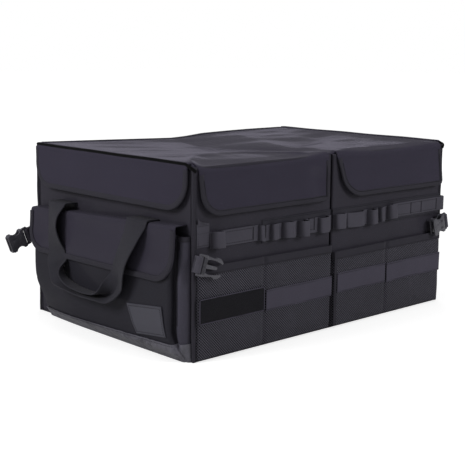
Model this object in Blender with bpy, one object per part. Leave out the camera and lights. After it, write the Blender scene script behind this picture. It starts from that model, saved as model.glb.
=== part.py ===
"""Folding storage box: a cloth boot organiser with stiff boards in its sleeves.

Metres, +Z up. The origin is the centre of the base's underside.
The front, with its mesh pockets and webbing, faces -Y.
The left end, with its flapped pocket, faces -X.
"""
import math

import bmesh
import bpy
from mathutils import Matrix, Vector

# The box
LENGTH = 0.600
DEPTH = 0.420
WALL_TOP = 0.2945
CLOTH = 0.0015
BOARD = 0.0025
GAP = 0.0003
FOLD_GAP = 0.006
BASE_CLOTH = 0.002
BASE_BOARD = 0.004
TAPE = 0.001
TAPE_WIDTH = 0.024
DIVIDER_DROP = 0.028
BINDING = 0.0008
BINDING_LEG = 0.004

# The lid and its flaps
LID_CLOTH = 0.0045
BACK_DIP_LEFT = 0.009
BACK_DIP_RIGHT = 0.0065
DIP_END_RIGHT = 0.120
LID_SAG = 0.003
FLAP_CLOTH = 0.003
FLAP_FLARE = 0.0045
FRONT_FLAP_DROP = 0.0785
FRONT_FLAP_MARGIN = 0.008
FRONT_NOTCH = 0.010
LEFT_NOTCH_SLANT = 0.004
RIGHT_NOTCH_SLANT = 0.022
LEFT_INNER_CORNER = 0.008
RIGHT_INNER_CORNER = 0.034
LEFT_OUTER_CORNER = 0.034
RIGHT_OUTER_CORNER = 0.012
END_FLAP_DROP = 0.071
END_FLAP_MARGIN = 0.008
END_FLAP_CORNER = 0.045

# Mesh pockets, with their hems, panels and bands
MESH_CLOTH = 0.0012
MESH_DEPTH = 0.0062
MESH_FOOT = 0.004
MESH_TOP_LEFT = 0.1335
MESH_TOP_RIGHT = 0.1185
HEM_HEIGHT = 0.0135
HEM_CLOTH = 0.0020
COLUMN_LEFT = -0.159
COLUMN_RIGHT = 0.140
PINCH = 0.006
BAND_HEIGHT = 0.034
BAND_CLOTH = 0.0014
HOOK_HEIGHT = 0.039
HOOK_CLOTH = 0.0016
BAND_Z = (0.057, 0.060, 0.0595)
HOOK_Z = 0.059
STRIP_RISE = 0.001

# Webbing ladder along the front
WEBBING = 0.0014
WEBBING_WIDTH = 0.025
LADDER_BELOW_TOP = 0.110
LADDER_SLOPE = 0.002
LADDER_BASE_WIDTH = 0.038
LADDER_BASE = 0.0012
ARCH_HEIGHT = 0.009
CORNER_ARCH = 0.015
LEFT_ARCHES = ((-0.136, -0.119), (-0.109, -0.082), (-0.072, -0.054), (-0.024, -0.006))
RIGHT_ARCHES = ((0.008, 0.037), (0.112, 0.128), (0.132, 0.149), (0.164, 0.178))
CORNER_LOOP_START = 0.012
CORNER_LOOP_DEPTH = 0.0175
CORNER_LOOP_REACH = 0.011
CORNER_TAB_WIDTH = 0.025
CORNER_TAB_HEIGHT = 0.036
CORNER_TAB_CLEAR = 0.0008

# Buckles and the loops that carry them
BUCKLE_WIDTH = 0.033
BAR = 0.002
BUCKLE_ARM = 0.0035
SLOT_END = 0.0065
MALE_LENGTH = 0.047
MALE_THICKNESS = 0.0045
FEMALE_LENGTH = 0.040
FEMALE_THICKNESS = 0.011
MOUTH_WIDTH = 0.024
MOUTH_HEIGHT = 0.0065
MOUTH_DEPTH = 0.026
NOTCH_RADIUS = 0.008
LOOP_CLEARANCE = 0.0013
LOOP_FRONT = 0.012
LOOP_BACK = 0.018
FRONT_LOOP_BELOW_TOP = 0.1415
BACK_LOOP_BELOW_TOP = 0.1495
FRONT_DROOP = 17.0
FEMALE_DROOP = 14.0
BACK_DROOP = 20.0

# End pocket on the left
POCKET_CLOTH = 0.002
POCKET_FOOT = 0.0015
POCKET_BELOW_TOP = 0.091
POCKET_DEPTH = 0.0195
POCKET_BULGE = 0.008
POCKET_CROWN = 0.0012
POCKET_SLOPE = 0.045
POCKET_LEVEL = 0.100
GUSSET_FOLD = 0.011
POCKET_FLAP_MARGIN = 0.0052
POCKET_FLAP_DROP = 0.087
POCKET_FLAP_CORNER = 0.042
POCKET_FLAP_STAND = 0.001
GUARD_CLOTH = 0.0012
GUARD_HEIGHT = 0.022
PATCH_WIDTH = 0.086
PATCH_HEIGHT = 0.044
PATCH_CLOTH = 0.0012
PATCH_FROM_FRONT = 0.0687
PATCH_Z = 0.0565
PATCH_TILT = -9.0

# Handles
HANDLE_WIDTH = 0.046
HANDLE_CLOTH = 0.0022
HANDLE_BACK_Y = 0.112
HANDLE_FRONT_Y = -0.099
HANDLE_DROP = 0.134
HANDLE_TWIST = 78.0
HANDLE_SLACK = 0.002
HANDLE_SQUARE = 0.40
HANDLE_FLAT = 0.8
HANDLE_PULL = 0.012
HANDLE_TURN_POWER = 2.2
ANCHOR_HEIGHT = 0.040

WALL = 2 * CLOTH + BOARD + 2 * GAP
HALF_X = LENGTH / 2
HALF_Y = DEPTH / 2
FOOT = BASE_CLOTH + GAP
LID_UNDER = WALL_TOP + GAP
LID_TOP = LID_UNDER + LID_CLOTH
BOARD_TOP = BASE_CLOTH + BASE_BOARD + 2 * GAP
POCKET_HALF = HALF_Y - BINDING_LEG - GUARD_CLOTH - 2 * GAP
POCKET_FLAP_HALF = POCKET_HALF - POCKET_FLAP_MARGIN
POCKET_TOP = WALL_TOP - POCKET_BELOW_TOP
STRAP_REST = POCKET_TOP + POCKET_CLOTH + 3 * GAP
HANDLE_TOP = STRAP_REST + HANDLE_CLOTH
PATCH_Y = PATCH_FROM_FRONT - POCKET_HALF
LADDER_Z = WALL_TOP - LADDER_BELOW_TOP
FRONT_LOOP_Z = WALL_TOP - FRONT_LOOP_BELOW_TOP
BACK_LOOP_Z = WALL_TOP - BACK_LOOP_BELOW_TOP

NAVY = (0.038, 0.034, 0.050, 1)
DARK = (0.028, 0.028, 0.030, 1)
STRAP = (0.045, 0.045, 0.052, 1)


def material(name, colour, roughness, metallic=0.0):
    """A Principled material, made once for each name."""
    found = bpy.data.materials.get(name)
    if found:
        return found
    made = bpy.data.materials.new(name)
    made.use_nodes = True
    shader = made.node_tree.nodes["Principled BSDF"]
    shader.inputs["Base Color"].default_value = colour
    shader.inputs["Roughness"].default_value = roughness
    shader.inputs["Metallic"].default_value = metallic
    made.diffuse_color = colour
    return made


def cloth_material(name):
    return material(name, NAVY, 0.85)


def webbing_material(name):
    return material(name, STRAP, 0.8)


def make_object(name, bm, finish, smooth=False):
    """Turn a closed bmesh into a named object with outward faces."""
    bmesh.ops.recalc_face_normals(bm, faces=bm.faces)
    mesh = bpy.data.meshes.new(name)
    bm.to_mesh(mesh)
    bm.free()
    if smooth:
        mesh.shade_smooth()
        mesh.set_sharp_from_angle(angle=math.radians(40))
    mesh.materials.append(finish)
    made = bpy.data.objects.new(name, mesh)
    bpy.context.scene.collection.objects.link(made)
    return made


def put_origin(piece, point):
    """Move an object's origin to a point without moving its surface."""
    piece.data.transform(Matrix.Translation(-Vector(point)))
    piece.location = point
    return piece


def carry(child, parent):
    """Parent a piece and keep it where it is."""
    child.parent = parent
    child.location = child.location - parent.location


def block(name, low, high, finish):
    """An upright box between two corners."""
    bm = bmesh.new()
    bmesh.ops.create_cube(bm, size=1.0)
    for vert in bm.verts:
        for axis in range(3):
            middle = (low[axis] + high[axis]) / 2
            vert.co[axis] = middle + vert.co[axis] * (high[axis] - low[axis])
    return make_object(name, bm, finish)


def skin(name, outer, inner, finish, smooth=True):
    """A closed sheet between two grids of points of the same size."""
    bm = bmesh.new()
    front = [[bm.verts.new(point) for point in row] for row in outer]
    back = [[bm.verts.new(point) for point in row] for row in inner]
    rows = len(front)
    columns = len(front[0])
    for i in range(rows - 1):
        for j in range(columns - 1):
            bm.faces.new((front[i][j], front[i][j + 1], front[i + 1][j + 1], front[i + 1][j]))
            bm.faces.new((back[i][j], back[i + 1][j], back[i + 1][j + 1], back[i][j + 1]))
    for i in range(rows - 1):
        for j in (0, columns - 1):
            bm.faces.new((front[i][j], front[i + 1][j], back[i + 1][j], back[i][j]))
    for j in range(columns - 1):
        for i in (0, rows - 1):
            bm.faces.new((front[i][j], front[i][j + 1], back[i][j + 1], back[i][j]))
    return make_object(name, bm, finish, smooth)


def columns_piece(name, tops, foot, low, high, along, finish, hollow=0.0):
    """An upright panel whose top edge follows (position, height) pairs.

    along is 0 for a panel that runs in X and 1 for one that runs in Y.
    A hollow panel is a sleeve of that cloth thickness, open at its foot.
    """
    def place(position, across, height):
        point = [0.0, 0.0, height]
        point[along] = position
        point[1 - along] = across
        return point

    bm = bmesh.new()

    def shell(inset):
        count = len(tops)
        rings = []
        for k, (position, height) in enumerate(tops):
            shift = inset if k == 0 else (-inset if k == count - 1 else 0.0)
            near = low + inset
            far = high - inset
            top = height - inset
            rings.append([bm.verts.new(place(position + shift, near, foot)),
                          bm.verts.new(place(position + shift, near, top)),
                          bm.verts.new(place(position + shift, far, top)),
                          bm.verts.new(place(position + shift, far, foot))])
        for a, b in zip(rings, rings[1:]):
            for k in range(3):
                bm.faces.new((a[k], a[k + 1], b[k + 1], b[k]))
        bm.faces.new(rings[0])
        bm.faces.new(rings[-1])
        return rings

    outer = shell(0.0)
    if hollow:
        inner = shell(hollow)
        for k in range(len(tops) - 1):
            for side in (0, 3):
                bm.faces.new((outer[k][side], outer[k + 1][side], inner[k + 1][side], inner[k][side]))
        for k in (0, -1):
            bm.faces.new((outer[k][0], inner[k][0], inner[k][3], outer[k][3]))
    else:
        for a, b in zip(outer, outer[1:]):
            bm.faces.new((a[0], b[0], b[3], a[3]))
    return make_object(name, bm, finish)


def smooth_step(value, start, end):
    """0 before start, 1 after end, with a soft turn between."""
    t = min(1.0, max(0.0, (value - start) / (end - start)))
    return t * t * (3 - 2 * t)


def blend_table(value, pairs):
    """Read a curve through (position, value) pairs with soft turns."""
    if value <= pairs[0][0]:
        return pairs[0][1]
    for (a, low), (b, high) in zip(pairs, pairs[1:]):
        if value <= b:
            return low + (high - low) * smooth_step(value, a, b)
    return pairs[-1][1]


def back_dip(x):
    """How far the back wall's top lies below the corners at x."""
    rim = HALF_X - WALL - 0.002
    if x < -FOLD_GAP / 2:
        share = (rim + x) / (rim - FOLD_GAP / 2)
        return BACK_DIP_LEFT * max(0.0, share)
    if x > FOLD_GAP / 2:
        share = (DIP_END_RIGHT - x) / (DIP_END_RIGHT - FOLD_GAP / 2)
        return BACK_DIP_RIGHT * max(0.0, share)
    share = (x + FOLD_GAP / 2) / FOLD_GAP
    return BACK_DIP_LEFT + (BACK_DIP_RIGHT - BACK_DIP_LEFT) * share


def make_base():
    """The base cloth and the two loose base boards."""
    block("base_cloth", (-HALF_X, -HALF_Y, 0), (HALF_X, HALF_Y, BASE_CLOTH), cloth_material("base_cloth"))
    reach_x = HALF_X - WALL - GAP
    reach_y = HALF_Y - WALL - GAP
    finish = material("base_board", (0.05, 0.05, 0.055, 1), 0.7)
    for side, low, high in (("left", -reach_x, -GAP), ("right", GAP, reach_x)):
        block("base_board_" + side, (low, -reach_y, FOOT), (high, reach_y, FOOT + BASE_BOARD), finish)


def make_walls():
    """Six sleeves with boards, fold tapes and the divider."""
    fold = FOLD_GAP / 2
    rim = HALF_X - WALL - 0.002
    front_tops = {"left": [(-HALF_X, WALL_TOP), (-fold, WALL_TOP)],
                  "right": [(fold, WALL_TOP), (HALF_X, WALL_TOP)]}
    back_tops = {"left": [(-HALF_X, WALL_TOP), (-rim, WALL_TOP), (-fold, WALL_TOP - back_dip(-fold - GAP))],
                 "right": [(fold, WALL_TOP - back_dip(fold + GAP)), (DIP_END_RIGHT, WALL_TOP),
                           (HALF_X, WALL_TOP)]}
    reach = HALF_Y - WALL - GAP
    end_tops = [(-reach, WALL_TOP), (reach, WALL_TOP)]
    for side in ("left", "right"):
        wall_with_board("front", side, front_tops[side], -HALF_Y, -HALF_Y + WALL, 0)
        wall_with_board("back", side, back_tops[side], HALF_Y - WALL, HALF_Y, 0)
    wall_with_board("end", "left", end_tops, -HALF_X, -HALF_X + WALL, 1)
    wall_with_board("end", "right", end_tops, HALF_X - WALL, HALF_X, 1)

    inner = HALF_Y - WALL - GAP
    drop = WALL_TOP - BACK_DIP_LEFT - GAP
    for name, low, high, top in (("front_fold_tape", -inner, -inner + TAPE, WALL_TOP - GAP),
                                 ("back_fold_tape", inner - TAPE, inner, drop)):
        block(name, (-TAPE_WIDTH / 2, low, BOARD_TOP), (TAPE_WIDTH / 2, high, top),
              cloth_material("fold_tape"))

    reach = inner - TAPE - GAP
    top = WALL_TOP - DIVIDER_DROP
    tops = [(-reach, top), (reach, top)]
    columns_piece("divider", tops, BOARD_TOP, -WALL / 2, WALL / 2, 1, cloth_material("divider"),
                  hollow=CLOTH)
    slack = CLOTH + GAP
    tops = [(-reach + slack, top - slack), (reach - slack, top - slack)]
    columns_piece("divider_board", tops, BOARD_TOP, -WALL / 2 + slack, WALL / 2 - slack, 1,
                  material("board", (0.10, 0.10, 0.10, 1), 0.6))


def wall_with_board(wall, side, tops, low, high, along):
    """One cloth sleeve and the board that stiffens it."""
    columns_piece(wall + "_wall_" + side, tops, FOOT, low, high, along, cloth_material("wall_cloth"),
                  hollow=CLOTH)
    slack = CLOTH + GAP
    inside = [(position, height - slack) for position, height in tops]
    inside[0] = (inside[0][0] + slack, inside[0][1])
    inside[-1] = (inside[-1][0] - slack, inside[-1][1])
    columns_piece(wall + "_board_" + side, inside, FOOT, low + slack, high - slack, along,
                  material("board", (0.10, 0.10, 0.10, 1), 0.6))


def make_corner_bindings():
    """An angle of tape over each upright corner seam."""
    for end, sx in (("left", -1), ("right", 1)):
        for face, sy in (("front", -1), ("back", 1)):
            out = GAP + BINDING
            plan = ((HALF_X + GAP, HALF_Y - BINDING_LEG), (HALF_X + out, HALF_Y - BINDING_LEG),
                    (HALF_X + out, HALF_Y + out), (HALF_X - BINDING_LEG, HALF_Y + out),
                    (HALF_X - BINDING_LEG, HALF_Y + GAP), (HALF_X + GAP, HALF_Y + GAP))
            bm = bmesh.new()
            ring = [bm.verts.new((sx * x, sy * y, GAP)) for x, y in plan]
            face_made = bm.faces.new(ring)
            raised = bmesh.ops.extrude_face_region(bm, geom=[face_made])
            for part in raised["geom"]:
                if isinstance(part, bmesh.types.BMVert):
                    part.co.z = WALL_TOP - GAP
            make_object("corner_binding_" + face + "_" + end, bm, material("binding", DARK, 0.85))


def offset_path(path, distance):
    """The same path moved sideways; its two ends move along the wall only."""
    moved = []
    last = len(path) - 1
    for k, point in enumerate(path):
        here = Vector(point)
        if k in (0, last):
            towards = 1 if path[last][0] > path[0][0] else -1
            sign = towards if k == 0 else -towards
            moved.append((here.x + sign * distance, here.y))
            continue
        before = (here - Vector(path[k - 1])).normalized()
        after = (Vector(path[k + 1]) - here).normalized()
        normal = Vector((before.y + after.y, -before.x - after.x)).normalized()
        spread = max(0.35, abs(normal.dot(Vector((after.y, -after.x)))))
        moved.append(tuple(here + normal * (distance / spread)))
    return moved


def pocket_shell(name, path_at, levels, height_at, thickness, place, finish):
    """A patch pocket: cloth around a plan path, a floor, and an open top.

    path_at gives the plan path at a level, height_at the height at a level
    and a position, and place turns (along, out, height) into a point.
    """
    outer = []
    inner = []
    for level in levels:
        path = path_at(level)
        outer.append([place(a, o, height_at(level, a)) for a, o in path])
        inside = offset_path(path, thickness)
        inner.append([place(a, o, height_at(level, a)) for a, o in inside])
    bm = bmesh.new()
    out_rows = [[bm.verts.new(point) for point in row] for row in outer]
    in_rows = [[bm.verts.new(point) for point in row] for row in inner[1:]]
    last = len(out_rows[0]) - 1
    for a, b in zip(out_rows, out_rows[1:]):
        for k in range(last):
            bm.faces.new((a[k], a[k + 1], b[k + 1], b[k]))
    for a, b in zip(in_rows, in_rows[1:]):
        for k in range(last):
            bm.faces.new((a[k], b[k], b[k + 1], a[k + 1]))
    for k in (0, last):
        for i in range(len(in_rows) - 1):
            bm.faces.new((out_rows[i + 1][k], out_rows[i + 2][k], in_rows[i + 1][k], in_rows[i][k]))
    for k in range(last):
        bm.faces.new((out_rows[-1][k], out_rows[-1][k + 1], in_rows[-1][k + 1], in_rows[-1][k]))
    bm.faces.new(out_rows[0])
    bm.faces.new(in_rows[0])
    bm.faces.new((out_rows[0][0], out_rows[1][0], in_rows[0][0], in_rows[0][last],
                  out_rows[1][last], out_rows[0][last]))
    return make_object(name, bm, finish, smooth=True)


def on_front(along, out, height):
    """A point in front of the front wall."""
    return (along, -HALF_Y - GAP - out, height)


def on_left_end(along, out, height):
    """A point outside the left end wall; along runs from the front to the back."""
    return (-HALF_X - GAP - out, along, height)


def on_right_end(along, out, height):
    """A point outside the right end wall."""
    return (HALF_X + GAP + out, along, height)


def mesh_path(low, high, column, depth, cloth):
    """Plan of a mesh pocket that is stitched down along one column."""
    pinch = cloth + 2 * GAP
    corner = 0.002
    return [(low, 0.0), (low, depth - corner), (low + corner, depth),
            (column - PINCH, depth), (column, pinch), (column + PINCH, depth),
            (high - corner, depth), (high, depth - corner), (high, 0.0)]


def make_mesh_pockets():
    """Two mesh pockets with their hems on the front wall."""
    edge = HALF_X - BINDING_LEG - 0.0005
    fold = FOLD_GAP / 2 + 0.0005
    sides = (("left", -edge, -fold, COLUMN_LEFT, MESH_TOP_LEFT, -0.0025),
             ("right", fold, edge, COLUMN_RIGHT, MESH_TOP_RIGHT, 0.002))
    levels = (0.0, 0.012, 0.10, 1.0)
    for side, low, high, column, top, rise in sides:
        def top_at(along, low=low, high=high, top=top, rise=rise):
            return top + rise * (along - low) / (high - low)

        def height_at(level, along, top_at=top_at):
            return MESH_FOOT + level * (top_at(along) - MESH_FOOT)

        def path_at(level, low=low, high=high, column=column):
            depth = MESH_DEPTH * (1.0 if level > 0.05 else 0.85)
            return mesh_path(low, high, column, depth, MESH_CLOTH)

        pocket_shell("mesh_pocket_" + side, path_at, levels, height_at, MESH_CLOTH, on_front,
                     material("mesh", (0.035, 0.035, 0.038, 1), 0.7))
        outer = []
        inner = []
        for lift in (GAP, HEM_HEIGHT):
            path = mesh_path(low, high, column, MESH_DEPTH + HEM_CLOTH - MESH_CLOTH, HEM_CLOTH)
            outer.append([on_front(a, o, top_at(a) + lift) for a, o in path])
            inner.append([on_front(a, o, top_at(a) + lift) for a, o in offset_path(path, HEM_CLOTH)])
        skin("pocket_hem_" + side, outer, inner, material("hem", DARK, 0.85), smooth=False)


def front_strip(name, low, high, bottom, rise, height, thickness, finish):
    """A flat strip on the mesh, with its right end raised by rise."""
    near = MESH_DEPTH + GAP
    outer = [[on_front(a, near + thickness, bottom + lift + z) for a, lift in ((low, 0), (high, rise))]
             for z in (0, height)]
    inner = [[on_front(a, near, bottom + lift + z) for a, lift in ((low, 0), (high, rise))]
             for z in (0, height)]
    skin(name, outer, inner, finish, smooth=False)


def make_front_trim():
    """Hook panel, three webbing bands and the tape beside the fold."""
    edge = HALF_X - BINDING_LEG - 0.0005
    front_strip("hook_loop_panel", -edge, COLUMN_LEFT - 0.001, HOOK_Z, 0.0, HOOK_HEIGHT, HOOK_CLOTH,
                material("hook_loop", (0.012, 0.012, 0.015, 1), 0.95))
    bands = ((COLUMN_LEFT + 0.003, -FOLD_GAP / 2 - 0.001, BAND_Z[0]),
             (FOLD_GAP / 2 + 0.009, COLUMN_RIGHT - 0.003, BAND_Z[1]),
             (COLUMN_RIGHT + 0.001, edge, BAND_Z[2]))
    for k, (low, high, bottom) in enumerate(bands):
        front_strip("webbing_band_" + str(k + 1), low, high, bottom, STRIP_RISE, BAND_HEIGHT, BAND_CLOTH,
                    webbing_material("band"))
    near = MESH_DEPTH + GAP
    low = on_front(FOLD_GAP / 2 + 0.0005, near + 0.0012, MESH_FOOT)
    high = on_front(FOLD_GAP / 2 + 0.0075, near, MESH_TOP_RIGHT)
    block("fold_binding", low, high, material("binding", DARK, 0.85))


def arch(start, end, height, steps=6):
    """Points of a webbing arch that stands out between two seams."""
    points = []
    for k in range(1, steps):
        angle = math.pi * k / steps
        middle = (start + end) / 2
        points.append((middle - (end - start) / 2 * math.cos(angle), height * math.sin(angle)))
    return points


def ladder_path(ends, arches, rest):
    """Plan path of a webbing run: flat, with an arch at each pair in arches."""
    path = [(ends[0], rest)]
    for start, end in arches:
        path.append((start - 0.0015, rest))
        path += [(x, rest + o) for x, o in arch(start, end, ARCH_HEIGHT)]
        path.append((end + 0.0015, rest))
    path.append((ends[1], rest))
    return path


def ribbon(name, path, lower_at, width, thickness, place, finish):
    """Webbing whose flat side follows a plan path; its lower edge follows lower_at."""
    moved = []
    for k, point in enumerate(path):
        here = Vector(point)
        before = Vector(path[max(k - 1, 0)])
        after = Vector(path[min(k + 1, len(path) - 1)])
        direction = (after - before).normalized()
        normal = Vector((-direction.y, direction.x))
        moved.append(tuple(here + normal * thickness))
    outer = []
    inner = []
    for lift in (0.0, width):
        outer.append([place(a, o, lower_at(path[k][0]) + lift) for k, (a, o) in enumerate(moved)])
        inner.append([place(a, o, lower_at(a) + lift) for a, o in path])
    return skin(name, outer, inner, finish)


def make_ladder():
    """The looped webbing along the front, on its two base strips."""
    fold = FOLD_GAP / 2

    def lower_at(x):
        return LADDER_Z + LADDER_SLOPE * x - WEBBING_WIDTH / 2

    def base_lower(x):
        return LADDER_Z + LADDER_SLOPE * x - LADDER_BASE_WIDTH / 2

    edge = HALF_X - BINDING_LEG - 0.0005
    finish = material("ladder_base", DARK, 0.9)
    for side, ends in (("left", (COLUMN_LEFT - 0.002, -fold - 0.0005)), ("right", (fold + 0.0005, edge))):
        path = [(ends[0], 0.0), (ends[1], 0.0)]
        ribbon("ladder_base_" + side, path, base_lower, LADDER_BASE_WIDTH, LADDER_BASE, on_front, finish)

    rest = LADDER_BASE + GAP
    tab_end = -edge + CORNER_TAB_WIDTH
    first = tab_end + CORNER_TAB_CLEAR
    left = ladder_path((first, -fold - 0.001), ((first + 0.002, first + 0.002 + CORNER_ARCH),) + LEFT_ARCHES,
                       rest)
    ribbon("ladder_webbing_left", left, lower_at, WEBBING_WIDTH, WEBBING, on_front,
           webbing_material("webbing"))
    right = ladder_path((fold + 0.001, HALF_X - CORNER_LOOP_START), RIGHT_ARCHES, rest)
    seat = HALF_X + GAP + WEBBING + GAP
    reach = CORNER_LOOP_REACH
    deep = CORNER_LOOP_DEPTH
    right += [(HALF_X - 0.35 * reach, rest + 0.08 * deep), (HALF_X + 0.35 * reach, rest + 0.13 * deep),
              (HALF_X + 0.86 * reach, rest - 0.06 * deep), (HALF_X + reach, rest - 0.34 * deep),
              (HALF_X + 0.77 * reach, rest - 0.66 * deep), (HALF_X + 0.40 * reach, rest - 0.86 * deep),
              (seat, rest - deep)]
    ribbon("ladder_webbing_right", right, lower_at, WEBBING_WIDTH, WEBBING, on_front,
           webbing_material("webbing"))
    block("corner_tab_front_left", on_front(-edge, WEBBING, lower_at(-edge) + 0.003),
          on_front(tab_end, 0.0, lower_at(-edge) + 0.003 + CORNER_TAB_HEIGHT), webbing_material("webbing"))


def frame_matrix(origin, axis, bar):
    """Local X along axis, local Z along bar, origin at the bar's middle."""
    x_axis = Vector(axis).normalized()
    z_axis = Vector(bar).normalized()
    y_axis = z_axis.cross(x_axis)
    turn = Matrix((x_axis, y_axis, z_axis)).transposed().to_4x4()
    return Matrix.Translation(origin) @ turn


def add_cutter(target, name, low, high, operation="DIFFERENCE", radius=0.0):
    """Cut a box, or a round notch across the thickness, from a target."""
    bm = bmesh.new()
    if radius:
        bmesh.ops.create_cone(bm, cap_ends=True, segments=20, radius1=radius, radius2=radius,
                              depth=high[1] - low[1])
        bmesh.ops.rotate(bm, verts=bm.verts, matrix=Matrix.Rotation(math.pi / 2, 3, "X"))
        middle = [(a + b) / 2 for a, b in zip(low, high)]
        bmesh.ops.translate(bm, verts=bm.verts, vec=middle)
    else:
        bmesh.ops.create_cube(bm, size=1.0)
        for vert in bm.verts:
            for axis in range(3):
                middle = (low[axis] + high[axis]) / 2
                vert.co[axis] = middle + vert.co[axis] * (high[axis] - low[axis])
    cutter = make_object(name, bm, target.data.materials[0])
    cutter.hide_render = True
    cutter.display_type = "WIRE"
    modifier = target.modifiers.new(name, "BOOLEAN")
    modifier.operation = operation
    modifier.object = cutter
    return cutter


def finish_cuts(target, cutters):
    """Apply a piece's cuts and delete the cutters."""
    graph = bpy.context.evaluated_depsgraph_get()
    mesh = bpy.data.meshes.new_from_object(target.evaluated_get(graph))
    target.modifiers.clear()
    target.data = mesh
    for cutter in cutters:
        bpy.data.objects.remove(cutter, do_unlink=True)
    mesh.shade_smooth()
    mesh.set_sharp_from_angle(angle=math.radians(35))


def prism(name, outline, thickness, finish):
    """A flat plate with an outline in local X and Z, centred in Y."""
    bm = bmesh.new()
    face = bm.faces.new([bm.verts.new((x, -thickness / 2, z)) for x, z in outline])
    raised = bmesh.ops.extrude_face_region(bm, geom=[face])
    for part in raised["geom"]:
        if isinstance(part, bmesh.types.BMVert):
            part.co.y = thickness / 2
    return make_object(name, bm, finish)


def male_buckle(name):
    """Plug half: a bar frame, two spring prongs with barbs and a guide."""
    half = BUCKLE_WIDTH / 2
    root = SLOT_END + 0.006
    upper = [(-BAR, half), (root, half), (root + 0.010, half - 0.0015),
             (MALE_LENGTH - 0.016, half - 0.0035), (MALE_LENGTH - 0.0145, half - 0.0005),
             (MALE_LENGTH - 0.006, half - 0.0015), (MALE_LENGTH - 0.001, half - 0.0055),
             (MALE_LENGTH, half - 0.008), (MALE_LENGTH - 0.003, half - 0.009),
             (MALE_LENGTH - 0.012, half - 0.0065), (root + 0.006, half - 0.0055),
             (root + 0.001, half - 0.0085), (root + 0.001, 0.0032),
             (MALE_LENGTH - 0.012, 0.0026), (MALE_LENGTH - 0.010, 0.0012)]
    outline = upper + [(x, -z) for x, z in reversed(upper)]
    body = prism(name, outline, MALE_THICKNESS, material("buckle", (0.035, 0.035, 0.040, 1), 0.35))
    cutter = add_cutter(body, name + "_slot", (BAR, -0.01, -half + BUCKLE_ARM),
                        (SLOT_END, 0.01, half - BUCKLE_ARM))
    finish_cuts(body, [cutter])
    return body


def female_buckle(name):
    """Socket half: a hollow housing with side notches and a bar frame."""
    half = BUCKLE_WIDTH / 2
    finish = material("buckle", (0.035, 0.035, 0.040, 1), 0.35)
    crown = FEMALE_THICKNESS / 2
    waist = half - 0.0015
    shoulder = SLOT_END + 0.001
    upper = [(shoulder, half), (FEMALE_LENGTH - 0.006, half), (FEMALE_LENGTH, waist)]
    outline = upper + [(x, -z) for x, z in reversed(upper)]
    body = prism(name, outline, 2 * crown, finish)
    arms = add_cutter(body, name + "_frame", (-BAR, -MALE_THICKNESS / 2, -half + 0.0005),
                      (SLOT_END + 0.003, MALE_THICKNESS / 2, half - 0.0005), "UNION")
    slot = add_cutter(body, name + "_slot", (BAR, -0.01, -half + BUCKLE_ARM),
                      (SLOT_END, 0.01, half - BUCKLE_ARM))
    mouth = add_cutter(body, name + "_mouth",
                       (FEMALE_LENGTH - MOUTH_DEPTH, -MOUTH_HEIGHT / 2, -MOUTH_WIDTH / 2),
                       (FEMALE_LENGTH + 0.01, MOUTH_HEIGHT / 2, MOUTH_WIDTH / 2))
    notches = []
    for sign in (-1, 1):
        x = FEMALE_LENGTH * 0.56
        z = sign * (half + 0.0025)
        notches.append(add_cutter(body, name + "_notch", (x, -0.01, z), (x, 0.01, z),
                                  radius=NOTCH_RADIUS))
    finish_cuts(body, [arms, slot, mouth] + notches)
    return body


def carrying_loop(name, seam, out, bar, reach):
    """A webbing loop: from the corner seam, round the buckle's bar and back."""
    clear = BAR + LOOP_CLEARANCE
    outside = clear + WEBBING
    steps = 10
    spread = math.radians(125)
    rim = []
    hole = []
    for k in range(steps + 1):
        angle = -spread + 2 * spread * k / steps
        rim.append((reach + outside * math.cos(angle), outside * math.sin(angle)))
        hole.append((reach + clear * math.cos(angle), clear * math.sin(angle)))
    neck = reach - outside - 0.002
    rim = [(0.0, -WEBBING)] + [(neck, -WEBBING - 0.0004)] + rim + [(neck, WEBBING + 0.0004), (0.0, WEBBING)]
    hole = [(neck - 0.0001, -0.0001), (neck + 0.0006, -0.0004)] + hole
    hole += [(neck + 0.0006, 0.0004), (neck - 0.0001, 0.0001)]
    x_axis = Vector(out).normalized()
    z_axis = Vector(bar).normalized()
    y_axis = z_axis.cross(x_axis)
    bm = bmesh.new()
    layers = []
    for height in (-WEBBING_WIDTH / 2, WEBBING_WIDTH / 2):
        layers.append([[bm.verts.new(Vector(seam) + x_axis * u + y_axis * v + z_axis * height)
                        for u, v in loop] for loop in (rim, hole)])
    count = len(rim)
    for k in range(count):
        n = (k + 1) % count
        for loop in (0, 1):
            low = layers[0][loop]
            high = layers[1][loop]
            bm.faces.new((low[k], low[n], high[n], high[k]))
        for rim_side, hole_side in layers:
            bm.faces.new((rim_side[k], rim_side[n], hole_side[n], hole_side[k]))
    make_object(name, bm, webbing_material("loop_webbing"), smooth=True)
    return Vector(seam) + x_axis * reach


def slanted(sign_x, degrees):
    """Unit vector along sign_x in X that droops by degrees, and its upright."""
    angle = math.radians(degrees)
    along = Vector((sign_x * math.cos(angle), 0, -math.sin(angle)))
    upright = Vector((sign_x * math.sin(angle), 0, math.cos(angle)))
    return along, upright


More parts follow.
